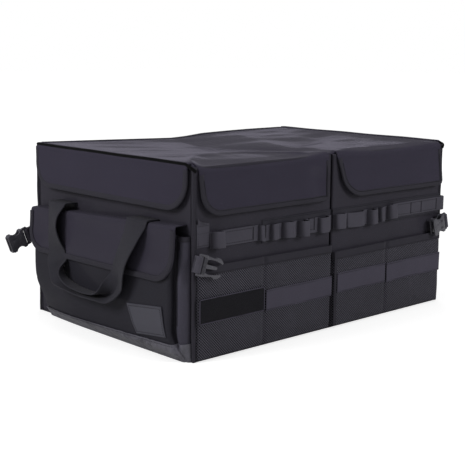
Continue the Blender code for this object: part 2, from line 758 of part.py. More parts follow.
def make_buckles():
    """A plug or socket buckle in a webbing loop at each upright corner."""
    male = male_buckle("male_buckle_front_left")
    female = female_buckle("female_buckle_front_right")
    back_female = female.copy()
    back_female.name = "female_buckle_back_left"
    back_male = male.copy()
    back_male.name = "male_buckle_back_right"
    for copy in (back_female, back_male):
        bpy.context.scene.collection.objects.link(copy)

    seam_x = HALF_X + 0.001
    seam_y = HALF_Y + GAP + BINDING + GAP
    along, bar = slanted(1, FRONT_DROOP)
    seat = carrying_loop("buckle_loop_front_left", (-seam_x, -seam_y, FRONT_LOOP_Z), (0, -1, 0), bar,
                         LOOP_FRONT)
    male.matrix_world = frame_matrix(seat, along, bar)
    along, bar = slanted(-1, FEMALE_DROOP)
    seat = carrying_loop("buckle_loop_front_right", (seam_x, -seam_y, FRONT_LOOP_Z), (0, -1, 0), bar,
                         LOOP_FRONT)
    female.matrix_world = frame_matrix(seat, along, bar)
    seam_x = HALF_X + GAP + BINDING + GAP
    seam_y = HALF_Y + 0.0015
    for sign, side, buckle in ((-1, "left", back_female), (1, "right", back_male)):
        along, bar = slanted(sign, BACK_DROOP)
        start = (sign * (seam_x + WEBBING_WIDTH / 2 * math.sin(math.radians(BACK_DROOP))), seam_y,
                 BACK_LOOP_Z)
        seat = carrying_loop("buckle_loop_back_" + side, start, along, bar, LOOP_BACK)
        buckle.matrix_world = frame_matrix(seat, along, bar)


def pocket_depth(height):
    """How far the end pocket's face stands off the end wall at a height."""
    full = POCKET_DEPTH + POCKET_BULGE
    return blend_table(height, ((0.0, POCKET_DEPTH * 0.35), (0.022, full - 0.003), (0.05, full),
                                (0.11, full - 0.0015), (POCKET_TOP, POCKET_DEPTH)))


def on_pocket(along, out, level):
    """A point on the left end; levels near the pocket's mouth slope down to the back."""
    share = min(1.0, max(0.0, (level - POCKET_LEVEL) / (POCKET_TOP - POCKET_LEVEL)))
    fall = POCKET_SLOPE * (along - HANDLE_FRONT_Y + HANDLE_WIDTH / 2)
    return on_left_end(along, out, level - fall * share)


def pocket_crown(along):
    """How much the pocket's face bulges towards its middle."""
    return POCKET_CROWN * min(1.0, max(0.0, (POCKET_HALF - abs(along)) / (POCKET_HALF * 0.58)))


def pocket_path(height, swell=0.0):
    """Plan of the end pocket: folded gussets and a slightly crowned face."""
    depth = pocket_depth(height) + swell
    half = POCKET_HALF + swell
    fold = half - GUSSET_FOLD * smooth_step(height, 0.006, 0.05)
    near = [(half, 0.0), (fold, depth * 0.45), (half - 0.001, depth * 0.86),
            (half - 0.006, depth), (half - 0.03, depth + pocket_crown(half - 0.03)),
            (half * 0.42, depth + POCKET_CROWN)]
    return [(-a, o) for a, o in near] + [(a, o) for a, o in reversed(near)]


def make_end_pocket():
    """The flapped pocket on the left end, its foot guard and its blank patch."""
    floor = POCKET_FOOT + POCKET_CLOTH
    heights = (POCKET_FOOT, floor, 0.016, GUARD_HEIGHT, 0.05, 0.08, 0.12, 0.145, 0.165, 0.185, POCKET_TOP)
    pocket_shell("end_pocket", pocket_path, heights, lambda level, along: level, POCKET_CLOTH,
                 on_pocket, cloth_material("pocket_cloth"))

    near = GAP + GUARD_CLOTH
    levels = (0.0,) + heights[:4]
    outer = [[on_left_end(a, o, z) for a, o in pocket_path(z, near)] for z in levels]
    inner = [[on_left_end(a, o, z) for a, o in pocket_path(z, GAP)] for z in levels]
    skin("end_guard", outer, inner, material("guard", (0.10, 0.10, 0.115, 1), 0.3))

    turn = math.radians(PATCH_TILT)
    stand = GAP + 0.0006

    def patch_point(u, v, lift):
        y = PATCH_Y + u * math.cos(turn) - v * math.sin(turn)
        z = PATCH_Z + u * math.sin(turn) + v * math.cos(turn)
        return on_left_end(y, pocket_depth(z) + pocket_crown(y) + stand + lift, z)

    across = [PATCH_WIDTH * (k / 6 - 0.5) for k in range(7)]
    up = [PATCH_HEIGHT * (k / 4 - 0.5) for k in range(5)]
    outer = [[patch_point(u, v, PATCH_CLOTH) for u in across] for v in up]
    inner = [[patch_point(u, v, 0.0) for u in across] for v in up]
    skin("patch", outer, inner, material("patch", (0.075, 0.075, 0.095, 1), 0.6))


def flap_rows(drop, corner, count_round=6):
    """Distances down a flap at which its outline is read."""
    straight = [0.0, (drop - corner) * 0.5, drop - corner]
    turned = [drop - corner + corner * math.sin(math.pi / 2 * k / count_round)
              for k in range(1, count_round + 1)]
    return straight + turned


def corner_inset(down, drop, corner):
    """How far a rounded lower corner pulls in at a distance down the flap."""
    past = down - (drop - corner)
    if past <= 0:
        return 0.0
    return corner - math.sqrt(max(0.0, corner * corner - past * past))


def make_pocket_flap():
    """The pocket's flap: over the pocket's mouth, then down its face."""
    top = POCKET_TOP + 2 * GAP
    face = POCKET_DEPTH + POCKET_CROWN + 2 * GAP
    rows = [(0.0, top, 0.0), (face - 0.001, top, 0.0), (face + 0.0003, top - 0.0006, 0.0),
            (face + 0.0006, top - 0.0025, 0.002)]
    for down in [0.02] + flap_rows(POCKET_FLAP_DROP, POCKET_FLAP_CORNER)[1:]:
        z = top - down
        rows.append((pocket_depth(z) + POCKET_CROWN + POCKET_FLAP_STAND, z, down))
    outer = []
    inner = []
    columns = 8
    for k, (out, z, down) in enumerate(rows):
        before = rows[max(k - 1, 0)]
        after = rows[min(k + 1, len(rows) - 1)]
        direction = Vector((after[0] - before[0], after[1] - before[1])).normalized()
        normal = Vector((-direction.y, direction.x))
        half = POCKET_FLAP_HALF - corner_inset(down, POCKET_FLAP_DROP, POCKET_FLAP_CORNER)
        line = [-half + 2 * half * j / columns for j in range(columns + 1)]
        inner.append([on_pocket(a, out, z) for a in line])
        lift = normal * POCKET_CLOTH
        edge_on = lift if k else Vector((0.0, POCKET_CLOTH))
        outer.append([on_pocket(a, out + edge_on.x, z + edge_on.y) for a in line])
    skin("end_pocket_flap", outer, inner, cloth_material("pocket_cloth"))


def handle_path(top, drop):
    """Middle line of a hanging handle as (along, down share, turn share)."""
    points = []
    steps = 22
    middle = (HANDLE_BACK_Y + HANDLE_FRONT_Y) / 2
    reach = (HANDLE_BACK_Y - HANDLE_FRONT_Y) / 2
    for k in range(steps + 1):
        angle = math.pi * k / steps
        wide = math.copysign(abs(math.cos(angle)) ** HANDLE_SQUARE, math.cos(angle))
        low = math.sin(angle) ** HANDLE_FLAT
        points.append((middle + (reach - HANDLE_PULL * low) * wide, top - drop * low, low))
    return points


def hanging_handle(name, place, stand_at, pivot_out):
    """Wide webbing that hangs as a U and turns flat at its foot.

    stand_at gives how far out the webbing hangs at a height.
    """
    path = handle_path(HANDLE_TOP - GAP, HANDLE_DROP)
    near = []
    far = []
    for k, (along, height, low) in enumerate(path):
        before = path[max(k - 1, 0)]
        after = path[min(k + 1, len(path) - 1)]
        direction = Vector((after[0] - before[0], after[1] - before[1])).normalized()
        if k in (0, len(path) - 1):
            direction = Vector((0.0, -1.0 if k == 0 else 1.0))
        side = Vector((-direction.y, direction.x))
        turn = math.radians(HANDLE_TWIST) * low ** HANDLE_TURN_POWER
        width = HANDLE_WIDTH / 2
        across = (side.x * math.cos(turn), side.y * math.cos(turn), math.sin(turn))
        normal = (-side.x * math.sin(turn), -side.y * math.sin(turn), math.cos(turn))
        middle_out = stand_at(height) + width * math.sin(turn) + HANDLE_SLACK * low
        for rows, lift in ((near, 0.0), (far, HANDLE_CLOTH)):
            row = []
            for sign in (-1.0, 0.0, 1.0):
                a = along + across[0] * width * sign + normal[0] * lift
                z = height + across[1] * width * sign + normal[1] * lift
                o = middle_out + across[2] * width * sign + normal[2] * lift
                row.append(place(a, o, z))
            rows.append(row)
    handle = skin(name, far, near, webbing_material("handle"))
    return put_origin(handle, place(0.0, pivot_out, HANDLE_TOP))


def make_handles():
    """A webbing handle on each end, hung from sewn straps."""
    flap_stack = POCKET_CROWN + POCKET_FLAP_STAND + POCKET_CLOTH + GAP
    half = HANDLE_WIDTH / 2
    strap = HANDLE_CLOTH
    finish = webbing_material("handle")
    stand = pocket_depth(POCKET_TOP) + flap_stack + 0.001

    def left_stand(height):
        return max(stand, pocket_depth(height) + flap_stack + 0.001)

    for where, y in (("back", HANDLE_BACK_Y), ("front", HANDLE_FRONT_Y)):
        block("handle_strap_left_" + where, on_left_end(y - half, stand - GAP, STRAP_REST),
              on_left_end(y + half, 0.0, HANDLE_TOP), finish)
        low = on_right_end(y - half, 0.0, HANDLE_TOP - ANCHOR_HEIGHT)
        high = on_right_end(y + half, strap, HANDLE_TOP)
        block("handle_strap_right_" + where, low, high, finish)
    hanging_handle("left_handle", on_left_end, left_stand, stand)
    hanging_handle("right_handle", on_right_end, lambda height: strap + GAP, strap + GAP)


def lid_height(x, y):
    """Top surface of the lid at a point."""
    rim_x = HALF_X - WALL - 0.002
    rim_y = HALF_Y - WALL - 0.002
    share = (y + HALF_Y) / DEPTH
    if y > rim_y:
        share = 1.0
    if y < -rim_y:
        share = 0.0
    level = -back_dip(x) * share
    inside = max(0.0, 1 - (abs(x) / rim_x) ** 6) * max(0.0, 1 - (abs(y) / rim_y) ** 4)
    wave = LID_SAG * (0.8 + 0.5 * math.sin(21 * x + 9 * y) * math.sin(17 * y + 1.0))
    return LID_TOP + level - wave * inside


def lid_columns():
    """Positions in X at which the lid's surface is read."""
    rim = HALF_X - WALL - 0.002
    half = FOLD_GAP / 2
    left = [-rim + (rim - half) * k / 9 for k in range(10)]
    right = [half + (DIP_END_RIGHT - half) * k / 4 for k in range(5)]
    right += [DIP_END_RIGHT + (rim - DIP_END_RIGHT) * k / 6 for k in range(1, 7)]
    return [-HALF_X] + left + right + [HALF_X]


def make_lid():
    """The lid and the four flaps that hang from it."""
    rim = HALF_Y - WALL - 0.002
    columns = lid_columns()
    rows = [-HALF_Y] + [-rim + 2 * rim * k / 8 for k in range(9)] + [HALF_Y]
    outer = [[(x, y, lid_height(x, y)) for x in columns] for y in rows]
    inner = [[(x, y, lid_height(x, y) - LID_CLOTH) for x in columns] for y in rows]
    lid = skin("lid_top", outer, inner, cloth_material("lid_cloth"))
    put_origin(lid, (0, HALF_Y + 0.002, LID_UNDER))

    for side, sign in (("left", -1), ("right", 1)):
        carry(end_flap(side, sign), lid)
        carry(front_flap(side, sign), lid)


def flap_skin(name, rows, place, finish):
    """A flap from rows of (down, low, high); it flares towards its lower edge."""
    drop = rows[-1][0]
    steps = 8
    outer = []
    inner = []
    for down, low, high in rows:
        flare = FLAP_FLARE * down / drop
        line = [low + (high - low) * j / steps for j in range(steps + 1)]
        outer.append([place(a, flare + FLAP_CLOTH, LID_TOP - down) for a in line])
        inner.append([place(a, flare, LID_TOP - down) for a in line])
    return skin(name, outer, inner, finish)


def front_flap(side, sign):
    """One of the two front flaps, cut away towards the middle of the box."""
    outside = HALF_X - FRONT_FLAP_MARGIN
    slant = LEFT_NOTCH_SLANT if sign < 0 else RIGHT_NOTCH_SLANT
    inner_corner = LEFT_INNER_CORNER if sign < 0 else RIGHT_INNER_CORNER
    outer_corner = LEFT_OUTER_CORNER if sign < 0 else RIGHT_OUTER_CORNER
    rows = []
    for down in flap_rows(FRONT_FLAP_DROP, max(inner_corner, outer_corner)):
        notch = FRONT_NOTCH + slant * down / FRONT_FLAP_DROP
        inner = notch + corner_inset(down, FRONT_FLAP_DROP, inner_corner)
        outer = outside - corner_inset(down, FRONT_FLAP_DROP, outer_corner)
        ends = sorted((sign * inner, sign * outer))
        rows.append((down, ends[0], ends[1]))
    flap = flap_skin("front_flap_" + side, rows, on_front, cloth_material("flap_cloth"))
    return put_origin(flap, on_front(0.0, FLAP_CLOTH, LID_TOP))


def end_flap(side, sign):
    """The flap that hangs from one end of the lid."""
    half = HALF_Y - END_FLAP_MARGIN
    rows = []
    for down in flap_rows(END_FLAP_DROP, END_FLAP_CORNER):
        inset = corner_inset(down, END_FLAP_DROP, END_FLAP_CORNER)
        rows.append((down, -half + inset, half - inset))
    place = on_left_end if sign < 0 else on_right_end
    flap = flap_skin("end_flap_" + side, rows, place, cloth_material("flap_cloth"))
    return put_origin(flap, place(0.0, FLAP_CLOTH, LID_TOP))


def build():
    """Make every piece of the box."""
    for old in list(bpy.data.objects):
        bpy.data.objects.remove(old, do_unlink=True)
    make_base()
    make_walls()
    make_corner_bindings()
    make_mesh_pockets()
    make_front_trim()
    make_ladder()
    make_buckles()
    make_end_pocket()
    make_pocket_flap()
    make_handles()
    make_lid()


build()
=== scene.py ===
"""Folding storage box: the cloth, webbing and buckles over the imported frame.

Metres, +Z up. The front faces -Y and the end with the flapped pocket faces -X.
"""

import math

import bmesh
import bpy
import numpy as np
from mathutils import Matrix, Vector


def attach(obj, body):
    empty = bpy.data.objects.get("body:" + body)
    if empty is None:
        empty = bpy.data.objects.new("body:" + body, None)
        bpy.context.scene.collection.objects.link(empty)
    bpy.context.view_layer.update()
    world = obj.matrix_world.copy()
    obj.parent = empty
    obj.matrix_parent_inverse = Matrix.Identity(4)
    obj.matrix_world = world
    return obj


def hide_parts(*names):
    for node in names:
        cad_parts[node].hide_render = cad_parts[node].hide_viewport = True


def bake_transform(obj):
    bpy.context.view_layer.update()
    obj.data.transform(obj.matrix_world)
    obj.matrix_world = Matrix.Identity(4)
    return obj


# Sizes of the box, as in the CAD source
HALF_X = 0.3
HALF_Y = 0.21
WALL_TOP = 0.2945
WALL = 0.0061
GAP = 0.0003
FOOT = 0.0023
LID_TOP = 0.2993
LID_CLOTH = 0.0045
FOLD = 0.0022
RIM_X = HALF_X - WALL - 0.002
RIM_Y = HALF_Y - WALL - 0.002
EDGE = HALF_X - 0.0045
COLUMN_LEFT = -0.159
COLUMN_RIGHT = 0.14
MESH_DEPTH = 0.0062
MESH_FOOT = 0.004
LADDER_Z = 0.1845
LADDER_SLOPE = 0.002
POCKET_HALF = 0.2042
POCKET_TOP = 0.2035
POCKET_DEPTH = 0.0195
POCKET_FULL = 0.0275
POCKET_CROWN = 0.0012
POCKET_SLOPE = 0.045
POCKET_LEVEL = 0.1
POCKET_PIVOT = -0.122
HANDLE_WIDTH = 0.049
HANDLE_BACK_Y = 0.112
HANDLE_FRONT_Y = -0.108

# Sizes of the cloth work
WEBBING_WIDTH = 0.025
WEBBING_THICK = 0.0014
FLAP_CLOTH = 0.003
FLAP_CREST_Y = -0.2133
GUARD_HEIGHT = 0.022
GUARD_REACH = 0.036
BASE_BELOW = 0.0065
BUCKLE_HALF = 0.0165
LOOP_HALF = 0.0008

# The left and right sides, and directions that faces and stitches look to
SIDES = (("left", -1), ("right", 1))
FRONT = (0, -1, 0)
LEFT = (-1, 0, 0)
RIGHT = (1, 0, 0)
UP = (0, 0, 1)

# Light of the surround and the floor
WORLD_LIGHT = 0.26
FLOOR_GLOW = 0.66
WHITE = (1, 1, 1, 1)

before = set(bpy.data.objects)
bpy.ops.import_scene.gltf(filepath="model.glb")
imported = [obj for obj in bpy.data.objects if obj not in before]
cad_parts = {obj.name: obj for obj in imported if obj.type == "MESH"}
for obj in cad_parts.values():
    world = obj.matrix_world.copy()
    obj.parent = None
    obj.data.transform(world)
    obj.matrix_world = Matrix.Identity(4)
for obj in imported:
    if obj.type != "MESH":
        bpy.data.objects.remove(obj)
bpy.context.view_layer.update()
threads = {}


# Materials
class Tree:
    """The nodes of a material or world, empty at first."""

    def __init__(self, owner):
        owner.use_nodes = True
        self.tree = owner.node_tree
        self.tree.nodes.clear()

    def node(self, kind, **settings):
        made = self.tree.nodes.new("ShaderNode" + kind)
        for key, value in settings.items():
            setattr(made, key, value)
        return made

    def plug(self, socket, value):
        if isinstance(value, bpy.types.NodeSocket):
            self.tree.links.new(value, socket)
        else:
            socket.default_value = value

    def math(self, operation, a, b=0.0, c=0.0):
        made = self.node("Math", operation=operation)
        for socket, value in zip(made.inputs, (a, b, c)):
            self.plug(socket, value)
        return made.outputs[0]


class Graph(Tree):
    """A material with a Principled shader."""

    def __init__(self, name):
        self.material = bpy.data.materials.new(name)
        super().__init__(self.material)
        self.shader = self.node("BsdfPrincipled")
        self.plug(self.node("OutputMaterial").inputs[0], self.shader.outputs[0])

    def wave(self, position, pitch):
        """A sine of that pitch in metres along a coordinate."""
        return self.math("SINE", self.math("MULTIPLY", position, 2 * math.pi / pitch))

    def weave(self, u, v, across, along):
        """Threads both ways, with a pitch for each way."""
        return self.math("MULTIPLY", self.wave(u, across), self.wave(v, along))

    def total(self, start, *parts):
        """A value with (value, weight) parts added to it."""
        for value, weight in parts:
            start = self.math("MULTIPLY_ADD", value, weight, start)
        return start

    def around(self, noise, amount, middle):
        """Noise about one half, scaled to lie about another middle."""
        return self.math("MULTIPLY_ADD", self.math("SUBTRACT", noise, 0.5), amount, middle)

    def place(self):
        """The cloth's own coordinates in metres: (across, along)."""
        uv = self.node("UVMap", uv_map="UVMap").outputs[0]
        split = self.node("SeparateXYZ")
        self.plug(split.inputs[0], uv)
        return split.outputs[0], split.outputs[1]

    def noise(self, size, detail=2.0, stretch=(1, 1, 1), rough=0.5):
        """Noise over the object, with features of about that size in metres."""
        where = self.node("TexCoord").outputs["Object"]
        scaled = self.node("Mapping")
        scaled.inputs["Scale"].default_value = stretch
        self.plug(scaled.inputs[0], where)
        made = self.node("TexNoise")
        self.plug(made.inputs["Vector"], scaled.outputs[0])
        made.inputs["Scale"].default_value = 1 / size
        made.inputs["Detail"].default_value = detail
        made.inputs["Roughness"].default_value = rough
        return made.outputs["Fac"]

    def blend(self, factor, low, high):
        """Colours mixed by a factor."""
        made = self.node("Mix", data_type="RGBA")
        self.plug(made.inputs["Factor"], factor)
        colours = [s for s in made.inputs if s.type == "RGBA"]
        self.plug(colours[0], low)
        self.plug(colours[1], high)
        return [s for s in made.outputs if s.type == "RGBA"][0]

    def bump(self, height, distance, under=None):
        made = self.node("Bump")
        made.inputs["Distance"].default_value = distance
        made.inputs["Strength"].default_value = 1.0
        self.plug(made.inputs["Height"], height)
        if under:
            self.plug(made.inputs["Normal"], under)
        return made.outputs[0]

    def finish(self, colour, roughness, normal=None, **constants):
        self.plug(self.shader.inputs["Base Color"], colour)
        self.plug(self.shader.inputs["Roughness"], roughness)
        if normal:
            self.plug(self.shader.inputs["Normal"], normal)
        for key, value in constants.items():
            self.shader.inputs[key.replace("_", " ")].default_value = value
        return self.material


def shade(colour, factor):
    return tuple(min(1.0, c * factor) for c in colour[:3]) + (1.0,)


def woven(name, colour, pitch=0.0009, depth=0.00007, rough=0.8, mottle=0.16, fold=0.0005, sheen=0.03,
          twill=False, size=0.045, gloss=0.12):
    """Plain or twill cloth: threads, slubs, faded patches and soft folds."""
    g = Graph(name)
    u, v = g.place()
    if twill:
        thread = g.total(g.wave(g.math("ADD", u, v), pitch * 1.4), (g.wave(u, pitch), 0.4))
    else:
        thread = g.weave(u, v, pitch, pitch)
    slub = g.noise(0.0035, 3.0, (1, 1, 5))
    patch = g.noise(size, 4.0)
    lint = g.math("GREATER_THAN", g.noise(0.0022, 0.0), 0.8)
    tone = g.total(g.around(patch, mottle * 2.2, 0.5), (g.math("SUBTRACT", slub, 0.5), 0.35), (thread, 0.13))
    base = g.blend(tone, shade(colour, 0.7), shade(colour, 1.3))
    base = g.blend(g.math("MULTIPLY", lint, 0.25), base, shade(colour, 2.6))
    soft = g.bump(g.noise(0.06, 2.0), fold * 3)
    fine = g.bump(g.total(thread, (slub, 1.2)), depth, soft)
    g.plug(g.shader.inputs["Coat Normal"], g.bump(g.noise(0.09, 1.0), fold))
    return g.finish(base, g.around(patch, 0.25, rough), fine, Sheen_Weight=sheen, Sheen_Roughness=0.3,
                    Specular_IOR_Level=0.12, Coat_Weight=gloss, Coat_Roughness=0.14,
                    Coat_Tint=(0.9, 0.87, 1.0, 1.0))


def ribbed(name, colour, pitch=0.0016, depth=0.0001, sheen=0.07):
    """Webbing or tape: ribs across its length."""
    g = Graph(name)
    u, v = g.place()
    height = g.total(g.wave(v, pitch), (g.wave(u, pitch * 0.8), 0.35))
    wear = g.noise(0.02, 4.0)
    tone = g.total(g.around(wear, 0.5, 0.5), (height, 0.09))
    base = g.blend(tone, shade(colour, 0.72), shade(colour, 1.28))
    normal = g.bump(g.total(height, (g.noise(0.0012, 2.0), 0.5)), depth, g.bump(g.noise(0.03), 0.0008))
    return g.finish(base, g.around(wear, 0.3, 0.78), normal, Sheen_Weight=sheen, Sheen_Roughness=0.35,
                    Specular_IOR_Level=0.25)


def netted(name, strand, hole_painted_shade, pitch=0.0042):
    """Knitted mesh: crossing strands over diamond holes. The holes' near-black colour is the dark wall seen
    through them, darkened further by painted shade.
    """
    g = Graph(name)
    u, v = g.place()
    slanted = g.math("ADD", u, v)
    one = g.math("ABSOLUTE", g.wave(slanted, 2 * pitch))
    two = g.math("ABSOLUTE", g.wave(g.math("SUBTRACT", u, v), 2 * pitch))
    open_part = g.math("MULTIPLY", one, g.math("MULTIPLY_ADD", two, 0.8, 0.2))
    cover = g.math("SUBTRACT", 1.0, g.math("SMOOTH_MIN", g.math("MULTIPLY", open_part, 1.5), 1.0, 0.1))
    knit = g.wave(slanted, pitch / 5)
    tone = g.math("MULTIPLY", g.total(cover, (knit, 0.06)), g.around(g.noise(0.05, 3.0), 0.5, 1.0))
    normal = g.bump(g.total(cover, (knit, 0.08)), 0.0009, g.bump(g.noise(0.07), 0.0012))
    # The holes take the near-black colour: the wall behind with painted shade.
    return g.finish(g.blend(tone, hole_painted_shade, strand), 0.75, normal, Sheen_Weight=0.04, Specular_IOR_Level=0.25)


def piled(name, colour):
    """Short hooked pile in fine rows."""
    g = Graph(name)
    u, v = g.place()
    rows = g.weave(u, v, 0.0016, 0.0022)
    fuzz = g.noise(0.0011, 4.0, rough=0.8)
    tone = g.total(0.0, (fuzz, 0.7), (rows, 0.2), (g.noise(0.03, 3.0), 0.3))
    base = g.blend(tone, shade(colour, 0.45), shade(colour, 1.6))
    normal = g.bump(g.total(fuzz, (rows, 0.5)), 0.0007)
    return g.finish(base, 0.95, normal, Sheen_Weight=0.03, Specular_IOR_Level=0.12)


def coated(name, colour):
    """Shiny coated cloth with sharp crinkles."""
    g = Graph(name)
    u, v = g.place()
    crumple = g.noise(0.014, 4.0, (1, 1, 0.5), 0.55)
    off = g.math("ABSOLUTE", g.math("SUBTRACT", crumple, 0.5))
    ridge = g.math("MAXIMUM", g.math("MULTIPLY_ADD", off, -7.0, 1.0), 0.0)
    fine = g.noise(0.004, 3.0)
    base = g.blend(g.total(0.0, (ridge, 0.45), (fine, 0.6)), shade(colour, 0.6), shade(colour, 1.5))
    grain = g.weave(u, v, 0.0012, 0.0012)
    normal = g.bump(g.total(0.0, (crumple, 3.0), (ridge, 0.5), (grain, 0.02)), 0.0016)
    rough = g.math("MULTIPLY_ADD", fine, 0.22, 0.26)
    return g.finish(base, rough, normal, Specular_IOR_Level=0.6, Coat_Weight=0.15, Coat_Roughness=0.25)


def moulded(name, colour, rough, grain=0.00005, spec=0.5):
    """Moulded plastic or rubber: fine texture, scuffs and dull patches."""
    g = Graph(name)
    fine = g.noise(0.0009, 3.0)
    cloud = g.noise(0.012, 4.0)
    scuff = g.noise(0.006, 5.0, (1, 6, 1), 0.7)
    mark = g.math("MULTIPLY", g.math("GREATER_THAN", scuff, 0.64), 0.3)
    base = g.blend(g.around(cloud, 0.7, 0.45), shade(colour, 0.75), shade(colour, 1.25))
    base = g.blend(mark, base, shade(colour, 2.0))
    grade = g.total(g.around(cloud, 0.3, rough), (mark, 0.3))
    normal = g.bump(g.total(fine, (cloud, 0.8)), grain)
    return g.finish(base, grade, normal, Specular_IOR_Level=spec)


def sheet_board(name, colour):
    """Plain stiff board with fibres and rubbed edges."""
    g = Graph(name)
    fibre = g.noise(0.003, 4.0, (1, 7, 1))
    cloud = g.noise(0.04, 4.0)
    base = g.blend(g.total(0.0, (fibre, 0.6), (cloud, 0.5)), shade(colour, 0.65), shade(colour, 1.35))
    normal = g.bump(g.math("ADD", fibre, cloud), 0.0002)
    return g.finish(base, g.math("MULTIPLY_ADD", cloud, 0.3, 0.5), normal, Specular_IOR_Level=0.4)


NAVY = (0.0375, 0.035, 0.0455)
STRAP = (0.068, 0.0645, 0.082)
TAPE = (0.033, 0.031, 0.0405)

outer = woven("outer_cloth", NAVY, fold=0.001, mottle=0.22)
lid_cloth = woven("lid_cloth", (0.0395, 0.0355, 0.053), sheen=0.03, size=0.07, gloss=0.18)
pocket_cloth = woven("pocket_cloth", (0.025, 0.024, 0.031), sheen=0.05)
# A much lighter copy of the pocket cloth for the gussets: painted light standing in for the lit gusset
# leaves.
gusset_cloth_painted_light = woven("gusset_cloth_painted_light", (0.062, 0.0585, 0.078), fold=0.0008)
pocket_flap_cloth = woven("pocket_flap_cloth", (0.0395, 0.036, 0.051))
lining = woven("lining", (0.03, 0.03, 0.033), pitch=0.0011, sheen=0.05)
tape = ribbed("binding_tape", TAPE, pitch=0.0014, depth=0.00008, sheen=0.04)
# The lid piping is real, but its near-black colour is painted shadow: it stands in for the dark gap under
# the lid's end edge.
piping_tape_painted_shadow = ribbed("piping_tape_painted_shadow", (0.0012, 0.0012, 0.0016), pitch=0.0014, depth=0.00008, sheen=0.01)
webbing = ribbed("webbing", STRAP, pitch=0.0018)
handle_web = ribbed("handle_webbing", (0.03, 0.029, 0.037), pitch=0.0015, depth=0.00008)
band_cloth = woven("soft_band", (0.063, 0.058, 0.079), pitch=0.0008, depth=0.00004, rough=0.68, mottle=0.1,
                   sheen=0.08, twill=True)
base_tape = woven("ladder_base", (0.035, 0.0335, 0.0425), pitch=0.0012, twill=True, sheen=0.05)
# Near-black hole colour: the dark wall seen through the mesh, darkened by painted shade.
mesh_cloth = netted("mesh", (0.128, 0.1215, 0.156, 1), (0.002, 0.002, 0.003, 1), 0.0044)
hook_pile = piled("hook_and_loop", (0.0145, 0.014, 0.0175))
guard_cloth = coated("coated_cloth", (0.085, 0.082, 0.103))
plastic = moulded("buckle_plastic", (0.08, 0.078, 0.093), 0.24)
rubber = moulded("patch_rubber", (0.068, 0.067, 0.084), 0.62, 0.00009, 0.35)
board = sheet_board("stiff_board", (0.02, 0.02, 0.021))
thread = ribbed("thread", (0.018, 0.018, 0.022), pitch=0.0006, depth=0.0001, sheen=0.02)


# Geometry
def unit(rows):
    """Vectors of length one in the same directions."""
    return rows / np.linalg.norm(rows, axis=-1, keepdims=True)


def run_of(points):
    """Length along a line, at each of its points."""
    return np.concatenate(([0.0], np.cumsum(np.linalg.norm(np.diff(points, axis=0), axis=1))))


def between(wanted, along, rows):
    """Rows of values at wanted lengths along a line."""
    return np.stack([np.interp(wanted, along, column) for column in rows.T], axis=1)


def stacked(*values):
    """Points from coordinates whose shapes match."""
    return np.stack(np.broadcast_arrays(*values), axis=-1).astype(float)


def beside(path, up):
    """A path, and one up direction for each of its points."""
    path = np.asarray(path, float)
    up = np.asarray(up, float)
    return path, np.repeat(up[None], len(path), 0) if up.ndim == 1 else up


def add_object(name, data):
    made = bpy.data.objects.new(name, data)
    bpy.context.scene.collection.objects.link(made)
    return made


def arcs(points, axis):
    """Length along an axis of a grid of points, from its start."""
    total = np.cumsum(np.linalg.norm(np.diff(points, axis=axis), axis=2), axis=axis)
    pad = [(0, 0), (0, 0)]
    pad[axis] = (1, 0)
    return np.pad(total, pad)


def resample(points, axis, radius):
    """Add rows close to both borders of a grid, for a rounded edge."""
    points = np.moveaxis(points, axis, 0)
    lengths = np.linalg.norm(np.diff(points, axis=0), axis=2).mean(axis=1)
    along = np.concatenate(([0.0], np.cumsum(lengths)))
    end = along[-1]
    radius = min(radius, end * 0.3)
    near = radius * np.array([0.0, 0.08, 0.3, 0.62, 1.0])
    inside = along[(along > radius * 1.25) & (along < end - radius * 1.25)]
    wanted = np.concatenate((near, inside, (end - near)[::-1]))
    made = between(wanted, along, points.reshape(len(points), -1))
    made = made.reshape((len(wanted),) + points.shape[1:])
    depth = np.minimum(wanted, end - wanted) / radius
    shape = np.sqrt(1 - (1 - np.clip(depth, 0, 1)) ** 2)
    return np.moveaxis(made, 0, axis), np.maximum(shape, 0.12)


def normals_of(points):
    """Unit normals of a grid; they point to rows cross columns."""
    made = np.cross(np.gradient(points, axis=0), np.gradient(points, axis=1))
    return made / np.maximum(np.linalg.norm(made, axis=2, keepdims=True), 1e-12)


def add_mesh(name, points, faces, uv, finish, smooth=True):
    mesh = bpy.data.meshes.new(name)
    mesh.from_pydata([tuple(p) for p in points], [], [tuple(f) for f in faces])
    layer = mesh.uv_layers.new(name="UVMap")
    index = np.zeros(len(mesh.loops), np.int32)
    mesh.loops.foreach_get("vertex_index", index)
    layer.data.foreach_set("uv", np.asarray(uv, np.float32)[index].ravel())
    bm = bmesh.new()
    bm.from_mesh(mesh)
    bmesh.ops.recalc_face_normals(bm, faces=bm.faces)
    bm.to_mesh(mesh)
    bm.free()
    if smooth:
        mesh.shade_smooth()
    mesh.materials.append(finish)
    return add_object(name, mesh)


